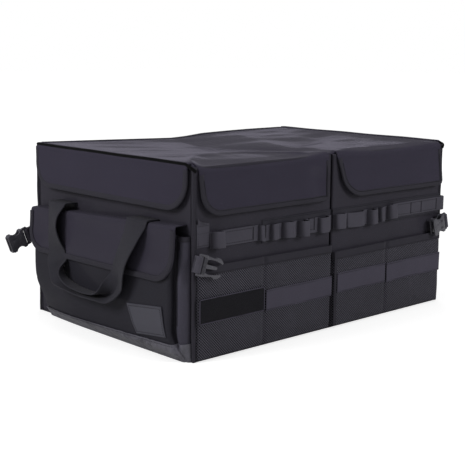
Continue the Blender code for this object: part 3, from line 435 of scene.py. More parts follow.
def cloth(name, points, thickness, finish, surface=0.0):
    """A closed sheet with rounded edges from a grid of points.

    surface 0 takes the grid as the middle, 1 as the side that the normals face.
    """
    points = np.asarray(points, float)
    radius = thickness / 2
    points, rows = resample(points, 0, radius)
    points, columns = resample(points, 1, radius)
    normal = normals_of(points)
    middle = points - normal * radius * surface
    shape = (rows[:, None] * columns[None, :])[..., None]
    front = middle + normal * radius * shape
    back = middle - normal * radius * shape
    n, m = points.shape[:2]
    u = arcs(points, 1)
    u = u - u[:, m // 2][:, None]
    v = arcs(points, 0)
    flat = np.stack((u, v), axis=2).reshape(-1, 2)
    index = np.arange(n * m).reshape(n, m)
    a, b, c, d = index[:-1, :-1], index[:-1, 1:], index[1:, 1:], index[1:, :-1]
    quads = np.stack((a, b, c, d), axis=2).reshape(-1, 4)
    faces = [quads, quads[:, ::-1] + n * m]
    border = np.concatenate((index[0, :-1], index[:-1, -1], index[-1, :0:-1], index[:0:-1, 0]))
    following = np.roll(border, -1)
    faces.append(np.stack((border, border + n * m, following + n * m, following), axis=1))
    both = np.concatenate((front.reshape(-1, 3), back.reshape(-1, 3)))
    return add_mesh(name, both, np.concatenate(faces), np.concatenate((flat, flat)), finish)


def oval(width, thickness, steps=16, square=3.4):
    """A rounded, flattened section as (across, up) pairs."""
    angle = np.linspace(0, 2 * np.pi, steps, endpoint=False)
    c, s = np.cos(angle), np.sin(angle)
    x = np.sign(c) * np.abs(c) ** (2 / square) * width / 2
    y = np.sign(s) * np.abs(s) ** (2 / square) * thickness / 2
    return np.stack((x, y), axis=1)


def sweep(name, path, up, section, finish, closed=False):
    """A section carried along a path; up is the direction its second value follows."""
    path, up = beside(path, up)
    if closed:
        tangent = unit(np.roll(path, -1, 0) - np.roll(path, 1, 0))
    else:
        tangent = unit(np.gradient(path, axis=0))
    side = unit(np.cross(tangent, up))
    up = np.cross(side, tangent)
    points = path[:, None] + side[:, None] * section[None, :, :1] + up[:, None] * section[None, :, 1:]
    n, m = points.shape[:2]
    index = np.arange(n * m).reshape(n, m)
    turned = np.roll(index, -1, axis=1)
    faces = []
    for i in range(n if closed else n - 1):
        j = (i + 1) % n
        faces += [(index[i, k], turned[i, k], turned[j, k], index[j, k]) for k in range(m)]
    if not closed:
        faces += [tuple(index[0]), tuple(index[-1])]
    uv = stacked(section[None, :, 0], run_of(path)[:, None])
    return add_mesh(name, points.reshape(-1, 3), faces, uv.reshape(-1, 2), finish)


def even(points, spacing):
    """Points at an even spacing along a line."""
    points = np.asarray(points, float)
    along = run_of(points)
    count = max(2, int(round(along[-1] / spacing)) + 1)
    return between(np.linspace(0, along[-1], count), along, points)


def soften(points, times=3, closed=False):
    """Cut the corners of a line again and again, keeping its ends."""
    points = np.asarray(points, float)
    for _ in range(times):
        if closed:
            after = np.roll(points, -1, 0)
        else:
            after = points[1:]
            points, first, last = points[:-1], points[:1], points[-1:]
        near = points * 0.75 + after * 0.25
        far = points * 0.25 + after * 0.75
        mixed = np.stack((near, far), axis=1).reshape(-1, points.shape[1])
        points = mixed if closed else np.concatenate((first, mixed, last))
    return points


def inset_line(points, distance):
    """A flat line moved sideways to its left."""
    tangent = np.gradient(points, axis=0)
    tangent /= np.maximum(np.linalg.norm(tangent, axis=1, keepdims=True), 1e-9)
    left = np.stack((-tangent[:, 1], tangent[:, 0]), axis=1)
    return points + left * distance


def stitch(path, up, body="box", pitch=0.0036, length=0.0027, width=0.00085):
    """Note a row of stitches; they are built together at the end."""
    path, up = beside(path, up)
    both = even(np.concatenate((path, up), axis=1), pitch)
    path, up = both[:, :3], both[:, 3:]
    threads.setdefault(body, []).append((path, unit(np.gradient(path, axis=0)), unit(up), length, width))


def build_stitches():
    """One mesh of small raised stitches for each body."""
    shape = np.array([(-0.5, 0, -0.3), (-0.28, 0.5, 0), (-0.28, 0, 0.5), (-0.28, -0.5, 0), (0.28, 0.5, 0),
                      (0.28, 0, 0.5), (0.28, -0.5, 0), (0.5, 0, -0.3), (-0.28, 0, -0.6), (0.28, 0, -0.6)])
    faces = np.array([(0, 1, 2, 2), (0, 2, 3, 3), (7, 5, 4, 4), (7, 6, 5, 5), (1, 4, 5, 2), (2, 5, 6, 3),
                      (0, 8, 1, 1), (0, 3, 8, 8), (7, 4, 9, 9), (7, 9, 6, 6), (1, 8, 9, 4), (3, 6, 9, 8)])
    for body, rows in sorted(threads.items()):
        points = []
        for path, tangent, up, length, width in rows:
            axes = np.stack((tangent * length, np.cross(tangent, up) * width, up * width), axis=1)
            points += list(path[:, None] + shape @ axes)
        count = len(points)
        every = [tuple(dict.fromkeys(f + 10 * k)) for k in range(count) for f in faces]
        uv = np.tile(shape[:, :2] * 0.002, (count, 1))
        made = add_mesh("stitching_" + body, np.concatenate(points), every, uv, thread)
        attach(made, body)


def settle(made, body, slot, *nodes):
    """Let a piece ride on its body and stand for its CAD nodes."""
    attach(made, body)
    if nodes:
        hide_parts(*nodes)
    return made


def panel(name, points, thickness, finish, slot, *nodes):
    """A cloth piece that rides on the box and stands for its CAD nodes."""
    return settle(cloth(name, points, thickness, finish), "box", slot, *nodes)


def step(value, start, end):
    t = np.clip((np.asarray(value, float) - start) / (end - start), 0, 1)
    return t * t * (3 - 2 * t)


def on_front(along, out, height):
    return stacked(along, -HALF_Y - GAP - out, height)


def on_left(along, out, height):
    return stacked(-HALF_X - GAP - out, along, height)


def on_right(along, out, height):
    return stacked(HALF_X + GAP + out, along, height)


def curve(value, *points):
    """Straight-line values between (place, value) points."""
    return np.interp(value, *zip(*points))


def plane(us, vs):
    return np.meshgrid(np.asarray(us, float), np.asarray(vs, float), indexing="ij")


# Base and walls
def back_dip(x):
    """How far the back edge sags below the corners."""
    return np.interp(x, (-0.3, -0.155, -0.05, -0.003, 0.015, 0.033, 0.045, 0.077, 0.14, 0.2),
                     (-0.0015, 0.0027, 0.006, 0.0074, 0.0068, 0.006, 0.005, 0.0022, 0.0008, 0.0))


def wall(name, low, high, across, face, along, top, finish, foot=FOOT):
    """A boarded sleeve: its middle plane runs from low to high, face is its outward sign."""
    h, a = plane(np.linspace(0, 1, 26), np.linspace(low, high, 40))
    z = foot + h * (top(a) - foot)
    wave = 0.0005 * np.sin(31 * a + 9 * h) * np.sin(7 * h * math.pi) * (a - low) * (high - a) / 0.01
    q = across + face * np.clip(wave, -0.0006, 0.0006)
    points = stacked(a, q, z) if along == 0 else stacked(q, a, z)
    return cloth(name, points, WALL, finish)


def level(a):
    return WALL_TOP + 0 * a


def sagging(a):
    return WALL_TOP - np.maximum(back_dip(a), 0)


def make_walls():
    inner = HALF_Y - WALL / 2
    for side, low, high in (("left", -HALF_X, -FOLD), ("right", FOLD, HALF_X)):
        for face, sign, top in (("front", -1, level), ("back", 1, sagging)):
            made = wall("sleeve_%s_%s" % (face, side), low, high, sign * inner, sign, 0, top, outer)
            settle(made, "box", "outer_cloth", "%s_wall_%s" % (face, side))
    reach = HALF_Y - WALL - GAP
    for side, sign in SIDES:
        made = wall("sleeve_end_" + side, -reach, reach, sign * (HALF_X - WALL / 2), sign, 1, level, outer)
        settle(made, "box", "outer_cloth", "end_wall_" + side)
    top = WALL_TOP - 0.028
    inside = reach - (0.001 + GAP)
    made = wall("divider_sleeve", -inside, inside, 0.0, 1, 1, lambda a: top + 0 * a, lining, foot=0.0066)
    settle(made, "box", "outer_cloth", "divider")
    for sign in (-1, 1):
        line = [(sign * (WALL / 2 + 0.0002), y, top - 0.006) for y in (-inside + 0.01, inside - 0.01)]
        stitch(line, (sign, 0, 0))

    x, y = plane(np.linspace(-HALF_X, HALF_X, 40), np.linspace(-HALF_Y, HALF_Y, 30))
    panel("base_sheet", stacked(x, y, 0.001), 0.002, outer, "outer_cloth", "base_cloth")
    for name, y, top in (("front_fold_tape", -reach + 0.0005, WALL_TOP - 0.001),
                         ("back_fold_tape", reach - 0.0005, WALL_TOP - 0.0086)):
        h, a = plane(np.linspace(0.0066, top, 30), np.linspace(-0.012, 0.012, 7))
        points = stacked(a, y + 0.0003 * np.sin(60 * h), h)
        panel(name + "_sheet", points, 0.001, tape, "outer_cloth", name)


def make_bindings():
    """Ribbed tape over each upright corner seam."""
    reach = 0.0042
    plan = soften([(HALF_X + 0.0007, HALF_Y - reach), (HALF_X + 0.0009, HALF_Y - 0.0015),
                   (HALF_X + 0.0009, HALF_Y + 0.0009), (HALF_X - 0.0015, HALF_Y + 0.0009),
                   (HALF_X - reach, HALF_Y + 0.0007)], 2)
    h, k = plane(np.linspace(0.0004, WALL_TOP - 0.0003, 34), np.arange(len(plan)))
    line = plan[k.astype(int)]
    for end, sx in SIDES:
        for face, sy in (("front", -1), ("back", 1)):
            corner = face + "_" + end
            sway = 0.00025 * np.sin(h * 90 + sx + 2 * sy)
            points = stacked(sx * (line[..., 0] + sway), sy * (line[..., 1] + sway), h)
            panel("corner_tape_" + corner, points, 0.0012, tape, "binding_tape", "corner_binding_" + corner)
            for x, y, up in ((HALF_X - 0.0034, HALF_Y + 0.0014, (0, sy, 0)),
                             (HALF_X + 0.0014, HALF_Y - 0.0034, (sx, 0, 0))):
                stitch([(sx * x, sy * y, 0.004), (sx * x, sy * y, WALL_TOP - 0.004)], up)


# Front pockets and trim
def mesh_out(a, low, high, column, depth):
    """How far the pocket's face stands off the wall at a place along it."""
    side = np.minimum(step(a, low, low + 0.0035), step(-a, -high, -high + 0.0035))
    pinch = 1 - 0.45 * np.exp(-((a - column) / 0.004) ** 2)
    return depth * side * pinch


def mesh_columns(low, high, column):
    edges = np.array([0, 0.0006, 0.0013, 0.0022, 0.0035, 0.006])
    near = column + np.array([-0.012, -0.008, -0.006, -0.004, -0.002, 0, 0.002, 0.004, 0.006, 0.008, 0.012])
    main = np.linspace(low + 0.012, high - 0.012, 52)
    main = main[np.abs(main - column) > 0.014]
    return np.unique(np.concatenate((low + edges, main, near, high - edges)))


def make_mesh_pockets():
    sides = (("left", -EDGE, -FOLD - 0.0005, COLUMN_LEFT, 0.1335, -0.0025),
             ("right", FOLD + 0.0005, EDGE, COLUMN_RIGHT, 0.1185, 0.002))
    for side, low, high, column, top, rise in sides:
        def rim(a):
            return top + rise * (a - low) / (high - low)

        def sway(a):
            return 0.0005 * np.sin(a * 21 + 1.0)

        xs = mesh_columns(low, high, column)
        v, a = plane(np.linspace(0, 1, 30), xs)
        z = MESH_FOOT + v * (rim(a) - MESH_FOOT)
        depth = MESH_DEPTH * (0.82 + 0.18 * step(v, 0, 0.1)) - 0.0006
        slack = 0.0004 * np.sin(a * 43) * np.sin(v * 5.0) + v * sway(a)
        points = on_front(a, mesh_out(a, low, high, column, depth) + slack, z)
        panel("mesh_" + side, points, 0.0012, mesh_cloth, "mesh", "mesh_pocket_" + side)
        v, a = plane(np.linspace(0, 1, 5), xs)
        out = mesh_out(a, low, high, column, MESH_DEPTH + 0.0004) + sway(a)
        points = on_front(a, out, rim(a) - 0.0006 + v * 0.0138)
        panel("hem_" + side, points, 0.0024, tape, "binding_tape", "pocket_hem_" + side)
        keep = (xs > low + 0.004) & (xs < high - 0.004) & (np.abs(xs - column) > 0.006)
        for part in (keep & (xs < column), keep & (xs > column)):
            line = xs[part]
            stitch(on_front(line, MESH_DEPTH + 0.0017 + sway(line), rim(line) + 0.0018), FRONT)
        for shift in (-0.0012, 0.0012):
            stitch(on_front(column + shift, 0.0022, np.array([0.006, top + 0.01])), FRONT)


def strip(name, node, slot, finish, low, high, bottom, rise, height, thickness):
    """A flat band on the mesh, a little wavy, with stitches along its edges."""
    near = MESH_DEPTH + GAP

    def level_at(a, share):
        return bottom + rise * (a - low) / (high - low) + share * height + 0.0004 * np.sin(a * 37)

    v, a = plane(np.linspace(0, 1, 12), np.linspace(low, high, 44))
    wave = 0.00035 * np.sin(a * 55 + v * 3) + 0.0002 * np.sin(a * 140)
    points = on_front(a, near + thickness / 2 + wave * 0.6, level_at(a, v))
    panel(name, points, thickness, finish, slot, node)
    line = np.linspace(low + 0.002, high - 0.002, 30)
    for share in (0.0022 / height, 1 - 0.0022 / height):
        stitch(on_front(line, near + thickness + 0.0001, level_at(line, share)), FRONT)


def make_trim():
    strip("hook_panel", "hook_loop_panel", "hook_and_loop", hook_pile, -EDGE, COLUMN_LEFT - 0.001, 0.059,
          0.0, 0.039, 0.0017)
    low, high, out = -EDGE + 0.001, COLUMN_LEFT - 0.002, MESH_DEPTH + GAP + 0.0016
    border = [on_front(a, out, z) for a, z in ((low, 0.0598), (high, 0.0598), (high, 0.0972), (low, 0.0972))]
    border = even(border + border[:1], 0.004)[:-1]
    made = sweep("hook_border", border, FRONT, oval(0.0017, 0.0009, 8), band_cloth, closed=True)
    settle(made, "box", "soft_band")
    bands = ((COLUMN_LEFT + 0.003, -FOLD - 0.001, 0.057), (FOLD + 0.009, COLUMN_RIGHT - 0.003, 0.06),
             (COLUMN_RIGHT + 0.001, EDGE, 0.0595))
    for k, (low, high, bottom) in enumerate(bands, 1):
        strip("band_%d" % k, "webbing_band_%d" % k, "soft_band", band_cloth, low, high, bottom, 0.001, 0.034,
              0.0015)
    h, a = plane(np.linspace(0.004, 0.1315, 40), np.linspace(FOLD + 0.0006, FOLD + 0.0076, 6))
    points = on_front(a, MESH_DEPTH + 0.0011 + 0.0003 * np.sin(h * 70), h)
    panel("fold_tape_front", points, 0.0014, tape, "binding_tape", "fold_binding")
    for a in (FOLD + 0.002, FOLD + 0.0062):
        stitch(on_front(a, MESH_DEPTH + 0.0019, np.array([0.006, 0.13])), FRONT)


# Webbing ladder
def ladder_line(start, end, arches, rest):
    """Plan line of the webbing as (along, out, flare) rows: square loops with steep sides."""
    rows = [(start, rest, 0.0)]
    for low, high, height, lean in arches:
        middle = (low + high) / 2
        half = (high - low) / 2
        rows.append((low - 0.0014, rest, 0.0))
        for angle in np.linspace(0.0, math.pi, 21):
            side = math.copysign(abs(math.cos(angle)) ** 0.5, math.cos(angle))
            swing = max(math.sin(angle), 0.0) ** 0.55
            rows.append((middle - half * side + lean * swing * 0.0025, rest + height * swing, swing))
        rows.append((high + 0.0014, rest, 0.0))
    rows.append((end, rest, 0.0))
    return np.array(rows)


def lower_at(x):
    return LADDER_Z + LADDER_SLOPE * np.asarray(x, float) - WEBBING_WIDTH / 2


def webbing_run(name, node, line, phase):
    """Webbing whose flat side follows a plan line."""
    line = even(line, 0.0015)
    k, v = plane(np.arange(len(line)), np.linspace(0, 1, 9))
    along, out, swing = np.moveaxis(line[k.astype(int)], -1, 0)
    flare = swing * (0.0012 * np.sin(phase + along * 70) + 0.0018 * (0.5 - v))
    hung = 0.0028 * step(along, -0.17, -0.158) * (1 - step(along, 0.134, 0.152))
    ripple = swing * 0.0016 * np.sin(phase + along * 41)
    z = lower_at(np.minimum(along, 0.3)) + WEBBING_WIDTH * v + ripple - hung
    points = on_front(along, out + flare, z)
    panel(name, np.swapaxes(points, 0, 1), WEBBING_THICK, webbing, "webbing", node)


def bar_tack(x, out):
    """A dense stitched bar across the webbing."""
    half = 0.0095
    z = float(lower_at(x)) + WEBBING_WIDTH / 2
    line = on_front(x, out, np.array([z - half, z + half]))
    for shift in (-0.0006, 0.0006):
        stitch(line + np.array((shift, 0, 0)), FRONT, pitch=0.0016, length=0.0015, width=0.0011)


def make_ladder():
    for side, low, high in (("left", COLUMN_LEFT - 0.002, -FOLD - 0.0005), ("right", FOLD + 0.0005, EDGE)):
        v, a = plane(np.linspace(0, 1, 9), np.linspace(low, high, 44))
        out = 0.0007 + 0.0002 * np.sin(a * 60) * np.sin(v * 3)
        points = on_front(a, out, lower_at(a) - BASE_BELOW + 0.038 * v)
        panel("ladder_strip_" + side, points, 0.0012, base_tape, "ladder_base", "ladder_base_" + side)
        line = np.linspace(low + 0.002, high - 0.002, 30)
        for share in (0.0025, 0.0355):
            stitch(on_front(line, 0.0014, lower_at(line) - BASE_BELOW + share), FRONT)
    rest = 0.0022
    tab_end = -EDGE + 0.025
    first = tab_end + 0.0008
    arches = ((first + 0.0028, first + 0.0215, 0.0112, 0.3), (-0.17, -0.161, 0.0055, 0.0),
              (-0.1445, -0.131, 0.0085, -0.3), (-0.119, -0.0965, 0.0115, 0.3),
              (-0.0835, -0.066, 0.0112, 0.8), (-0.0345, -0.0125, 0.0095, 0.0))
    left = ladder_line(first, -FOLD - 0.0008, arches, rest)
    webbing_run("ladder_left", "ladder_webbing_left", left, 0.4)
    arches = ((0.005, 0.03, 0.008, 0.0), (0.037, 0.079, 0.004, 0.0), (0.089, 0.1065, 0.0115, 0.8),
              (0.1185, 0.128, 0.0105, -0.3), (0.1415, 0.16, 0.0112, 0.3))
    right = ladder_line(FOLD + 0.0012, 0.288, arches, rest)
    corner = [(0.2965, 0.0036), (0.304, 0.0044), (0.3094, 0.0012), (0.311, -0.0042), (0.3085, -0.0098),
              (0.3045, -0.0132), (0.3022, -0.0155)]
    corner = soften(np.concatenate((right[-1:, :2], corner)), 3)[1:]
    corner = np.pad(corner, ((0, 0), (0, 1)))
    webbing_run("ladder_right", "ladder_webbing_right", np.concatenate((right, corner)), 2.1)
    for x in (-0.249, -0.243, -0.182, -0.155, -0.057, -0.044, 0.165, 0.171, 0.21, 0.24, 0.285):
        bar_tack(x, rest + 0.0008)
    for low, high in ((-0.239, -0.186), (-0.055, -0.046), (0.175, 0.207), (0.213, 0.237), (0.243, 0.283)):
        line = np.linspace(low, high, 12)
        for share in (0.0035, 0.0215):
            stitch(on_front(line, rest + 0.0008, lower_at(line) + share), FRONT)
    bottom = float(lower_at(-EDGE)) + 0.003
    v, a = plane(np.linspace(0, 1, 10), np.linspace(-EDGE, tab_end, 9))
    points = on_front(a, 0.0008 + 0.0004 * np.sin(v * 3.1), bottom + 0.036 * v)
    panel("corner_tab", points, WEBBING_THICK, webbing, "webbing", "corner_tab_front_left")
    t, k = plane(np.linspace(0, 1, 9), np.linspace(0, 1, 7))
    a = -EDGE + 0.0015 + k * 0.02 * (1 - 0.92 * t)
    out = 0.0022 + 0.0018 * np.sin(t * 2.4) * (0.4 + 0.6 * k)
    points = on_front(a, out, bottom + 0.0355 + 0.01 * t - 0.006 * k * t)
    panel("tab_fold", points, WEBBING_THICK, webbing, "webbing")
    near, far = -EDGE + 0.003, tab_end - 0.003
    for z in (bottom + 0.003, bottom + 0.0215, bottom + 0.0325):
        stitch(on_front(np.array([near, far]), 0.0017, z), FRONT)
    for a in (near, far):
        stitch(on_front(a, 0.0017, np.array([bottom + 0.003, bottom + 0.0215])), FRONT)


# Buckles
def frame_matrix(origin, axis, bar):
    x_axis = Vector(axis).normalized()
    z_axis = Vector(bar).normalized()
    y_axis = z_axis.cross(x_axis)
    turn = Matrix((x_axis, y_axis, z_axis)).transposed().to_4x4()
    return Matrix.Translation(origin) @ turn


def plate(bm, outline, low, high, bevel):
    """Add a bevelled flat plate with an outline in local X and Z."""
    made = bmesh.new()
    face = made.faces.new([made.verts.new((x, low, z)) for x, z in outline])
    raised = bmesh.ops.extrude_face_region(made, geom=[face])
    for part in raised["geom"]:
        if isinstance(part, bmesh.types.BMVert):
            part.co.y = high
    bmesh.ops.recalc_face_normals(made, faces=made.faces)
    if bevel:
        bmesh.ops.bevel(made, geom=list(made.edges), offset=bevel, segments=3, profile=0.5, affect="EDGES",
                        clamp_overlap=True)
    holder = bpy.data.meshes.new("plate")
    made.to_mesh(holder)
    made.free()
    bm.from_mesh(holder)
    bpy.data.meshes.remove(holder)


def slab(bm, x0, x1, y0, y1, z0, z1, bevel=0.0005):
    plate(bm, [(x0, z0), (x1, z0), (x1, z1), (x0, z1)], y0, y1, bevel)


def finish_buckle(name, bm, matrix, body, node):
    """Turn a buckle half into a piece in its place, on its own body."""
    mesh = bpy.data.meshes.new(name)
    bm.to_mesh(mesh)
    bm.free()
    layer = mesh.uv_layers.new(name="UVMap")
    for loop in mesh.loops:
        co = mesh.vertices[loop.vertex_index].co
        layer.data[loop.index].uv = (co.x, co.z)
    mesh.transform(matrix)
    mesh.shade_smooth()
    mesh.set_sharp_from_angle(angle=math.radians(50))
    mesh.materials.append(plastic)
    settle(add_object(name, mesh), body, "buckle_plastic", node)


def plug(bm):
    """Plug half: bars and slots, ribs, a guide and two barbed prongs."""
    half = BUCKLE_HALF
    root = 0.0125
    slab(bm, -0.002, 0.0018, -0.0021, 0.0021, -half + 0.0006, half - 0.0006, 0.0012)
    for sign in (-1, 1):
        low, high = sorted((sign * (half - 0.0036), sign * half))
        slab(bm, -0.0012, root, -0.0022, 0.0022, low, high, 0.0008)
    slab(bm, 0.0066, root + 0.0012, -0.0023, 0.0023, -half + 0.0004, half - 0.0004, 0.0008)
    for x in (0.0076, 0.0096, 0.0116):
        slab(bm, x, x + 0.0009, 0.0021, 0.003, -half + 0.004, half - 0.004, 0.0003)
        slab(bm, x, x + 0.0009, -0.003, -0.0021, -half + 0.004, half - 0.004, 0.0003)
    guide = [(root, 0.0034), (0.034, 0.0026), (0.0365, 0.0012), (0.0365, -0.0012), (0.034, -0.0026),
             (root, -0.0034)]
    plate(bm, guide, -0.0016, 0.0016, 0.0005)
    prong = [(root, 0.016), (0.02, 0.015), (0.03, 0.0138), (0.0318, 0.0162), (0.0345, 0.0164),
             (0.04, 0.0152), (0.045, 0.0116), (0.0465, 0.0088), (0.045, 0.0076), (0.04, 0.0086),
             (0.033, 0.0104), (0.022, 0.0112), (0.016, 0.0104), (root, 0.0082)]
    for sign in (-1, 1):
        plate(bm, soften([(x, sign * z) for x, z in prong], 1, closed=True), -0.0021, 0.0021, 0.0006)


def socket(bm):
    """Socket half: two shells with side notches, rails between them and a bar frame."""
    half = BUCKLE_HALF
    end = 0.04
    notch = 0.0224
    upper = [(0.0078, 0.015), (0.0088, half), (notch - 0.0085, half)]
    for k in range(1, 8):
        angle = math.pi * k / 8
        upper.append((notch - 0.0075 * math.cos(angle), half - 0.0052 * math.sin(angle)))
    upper += [(notch + 0.0085, half), (end - 0.004, half), (end, half - 0.003)]
    outline = upper + [(x, -z) for x, z in reversed(upper)]
    for low, high in ((0.0031, 0.0054), (-0.0054, -0.0031)):
        plate(bm, outline, low, high, 0.0008)
    rails = ((0.009, notch - 0.0082, 0.0118, 0.016), (notch + 0.008, end - 0.001, 0.0122, 0.0158))
    for sign in (-1, 1):
        for x0, x1, z0, z1 in rails:
            slab(bm, x0, x1, -0.0038, 0.0038, *sorted((sign * z0, sign * z1)), 0.0006)
        low, high = sorted((sign * (half - 0.004), sign * (half - 0.0004)))
        slab(bm, -0.0012, 0.01, -0.0022, 0.0022, low, high, 0.0008)
    slab(bm, 0.0082, 0.012, -0.004, 0.004, -0.015, 0.015, 0.0006)
    slab(bm, -0.002, 0.0018, -0.0021, 0.0021, -half + 0.0008, half - 0.0008, 0.0012)
    slab(bm, 0.012, end - 0.004, 0.005, 0.0058, -0.0045, 0.0045, 0.0004)
    for x in (0.014, 0.0165, 0.019):
        slab(bm, x, x + 0.001, 0.0052, 0.006, -0.0085, 0.0085, 0.0003)


def carrying_loop(name, seam, out, bar, reach):
    """A webbing loop from the corner seam, round the buckle's bar and back."""
    clear = 0.004
    seam = np.array(seam)
    x_axis = np.array(Vector(out).normalized())
    z_axis = np.array(Vector(bar).normalized())
    y_axis = np.cross(z_axis, x_axis)
    angle = np.radians(np.linspace(-128, 128, 17))
    rim = np.stack((reach + clear * np.cos(angle), clear * np.sin(angle)), axis=1)
    neck = reach - clear - 0.003
    lower = [(0.0, -LOOP_HALF), (neck, -LOOP_HALF)]
    upper = [(neck, LOOP_HALF), (0.0, LOOP_HALF)]
    line = np.concatenate((lower, rim, upper))
    line = even(soften(line, 2), 0.0012)
    k, v = plane(np.arange(len(line)), np.linspace(-0.5, 0.5, 8))
    row = line[k.astype(int)]
    across = v[..., None] * WEBBING_WIDTH * z_axis
    points = seam + row[..., :1] * x_axis + row[..., 1:] * y_axis + across
    panel(name + "_webbing", points, WEBBING_THICK, webbing, "webbing", name)
    for share in (0.25, 0.75):
        middle = seam + x_axis * neck * share
        for sign in (-1, 1):
            line = [middle + z_axis * 0.01 * s + y_axis * 0.0016 * sign for s in (-1, 1)]
            stitch(line, y_axis * sign, pitch=0.0018, length=0.0016)
    return seam + x_axis * reach


def slanted(sign_x, degrees):
    """A direction along x that dips, and the one upright to it."""
    angle = math.radians(degrees)
    along = (sign_x * math.cos(angle), 0, -math.sin(angle))
    upright = (sign_x * math.sin(angle), 0, math.cos(angle))
    return along, upright


def make_buckles():
    front_x = HALF_X + 0.001
    front_y = HALF_Y + 0.0014
    back_x = HALF_X + 0.0014 + 0.0125 * math.sin(math.radians(20.0))
    back_y = HALF_Y + 0.0015
    for corner, make, kind, sign, degrees, seam, reach in (
            ("front_left", plug, "male", 1, 17.0, (-front_x, -front_y, 0.153), 0.012),
            ("front_right", socket, "female", -1, 14.0, (front_x, -front_y, 0.153), 0.012),
            ("back_left", socket, "female", -1, 20.0, (-back_x, back_y, 0.145), 0.018),
            ("back_right", plug, "male", 1, 20.0, (back_x, back_y, 0.145), 0.018)):
        along, bar = slanted(sign, degrees)
        out = FRONT if seam[1] < 0 else along
        seat = carrying_loop("buckle_loop_" + corner, seam, out, bar, reach)
        bm = bmesh.new()
        make(bm)
        finish_buckle(make.__name__ + "_" + corner, bm, frame_matrix(Vector(seat), along, bar),
                      "buckle_" + corner, kind + "_buckle_" + corner)


# End pocket
def eased(value, pairs):
    """Values that pass smoothly from one (place, value) pair to the next."""
    value = np.asarray(value, float)
    made = np.full(value.shape, pairs[0][1], float)
    for (a, low), (b, high) in zip(pairs, pairs[1:]):
        made = np.where(value >= a, low + (high - low) * step(value, a, b), made)
    return made


def pocket_depth(z, a=0.0):
    """How far the pocket's face stands off the wall; less at its lower back corner."""
    out = eased(z, ((0.0, POCKET_DEPTH * 0.35), (0.022, POCKET_FULL - 0.003), (0.05, POCKET_FULL),
                    (0.11, POCKET_FULL - 0.0015), (POCKET_TOP, POCKET_DEPTH)))
    return out * (1 - 0.5 * step(a, 0.06, 0.2) * (1 - step(z, 0.0, 0.1)))


def pocket_crown(a):
    return POCKET_CROWN * np.clip((POCKET_HALF - np.abs(a)) / (POCKET_HALF * 0.58), 0, 1)


def on_pocket(a, out, z):
    """A point on the left end; near the mouth the levels slope down to the back."""
    a, out, z = np.broadcast_arrays(a, out, z)
    share = np.clip((z - POCKET_LEVEL) / (POCKET_TOP - POCKET_LEVEL), 0, 1)
    return on_left(a, out, z - POCKET_SLOPE * (a - POCKET_PIVOT) * share)


def pocket_plan(z, swell=0.0):
    """Plan line of the pocket at a height, as (along, out) rows."""
    tuck = 0.03 * (1 - float(step(z, 0.0, 0.07)))
    cleft = 0.006 + 0.015 * float(step(z, 0.008, 0.05))
    edge = 0.006 + 0.011 * float(step(z, 0.008, 0.05))
    line = []
    for sign in (-1, 1):
        half = POCKET_HALF + swell - (tuck if sign > 0 else 0.0)
        depth = float(pocket_depth(z, sign * half)) + swell
        near = [(half, 0.0), (half - 0.0015, depth * 0.3), (half - 0.004, depth * 0.56),
                (half - 0.0085, depth * 0.62), (half - cleft, depth * 0.42),
                (half - cleft - 0.001, depth * 0.55), (half - edge - 0.001, depth * 0.93),
                (half - edge - 0.003, depth + 0.0001), (half - edge - 0.009, depth + 0.0003)]
        inner = half - edge - 0.012
        for share in (0.92, 0.78, 0.62, 0.46, 0.3, 0.14):
            a = inner * share
            near.append((a, float(pocket_depth(z, sign * a)) + swell + float(pocket_crown(a))))
        near = [(sign * a, o) for a, o in near]
        line += near if sign < 0 else near[::-1]
    return even(soften(line, 3), 0.004)


def pocket_rows(heights, swell, wrinkle, lower_ends=0.0):
    """Rows of points round the pocket, one for each height."""
    rows = []
    for z in heights:
        line = pocket_plan(z, swell)
        along = run_of(line)
        a, o = between(np.linspace(0, 1, 132) * along[-1], along, line).T
        fade = np.clip((POCKET_HALF - np.abs(a)) / 0.03, 0, 1)
        rise = math.sin(min(1.0, max(0.0, (z - 0.02) / 0.18)) * math.pi)
        o = o + wrinkle * rise * fade * (np.sin(23 * a + 9 * z + 1) * 0.5 + 0.5 * np.sin(61 * a - 40 * z))
        side = 1 - step(o, 0.01, 0.0195)
        fall = lower_ends * side * step(np.abs(a), 0.15, 0.19) * float(step(z, 0.12, POCKET_TOP))
        rows.append(on_pocket(a, o, z - fall))
    return np.array(rows)


def make_end_pocket():
    heights = np.concatenate(([0.0018, 0.004, 0.009, 0.016], np.linspace(0.024, POCKET_TOP, 40)))
    rows = pocket_rows(heights, -0.001, 0.0007, 0.015)
    floor = []
    for share in (0.02, 0.35, 0.7, 0.92):
        line = rows[0].copy()
        line[:, 0] = -HALF_X - GAP + (line[:, 0] + HALF_X + GAP) * share
        floor.append(line)
    made = cloth("pocket_body", np.concatenate((floor, rows)), 0.002, pocket_cloth)
    # Faces near the pocket's two ends take the lighter copy of the pocket cloth: painted light on the
    # gussets.
    made.data.materials.append(gusset_cloth_painted_light)
    for face in made.data.polygons:
        if abs(face.center.y) > POCKET_HALF - 0.0125:
            face.material_index = 1
    settle(made, "box", "outer_cloth", "end_pocket")
    rim = pocket_rows(np.linspace(POCKET_TOP - 0.008, POCKET_TOP + 0.0003, 5), -0.001, 0.0, 0.015)
    panel("pocket_lip", rim, 0.0034, tape, "outer_cloth")


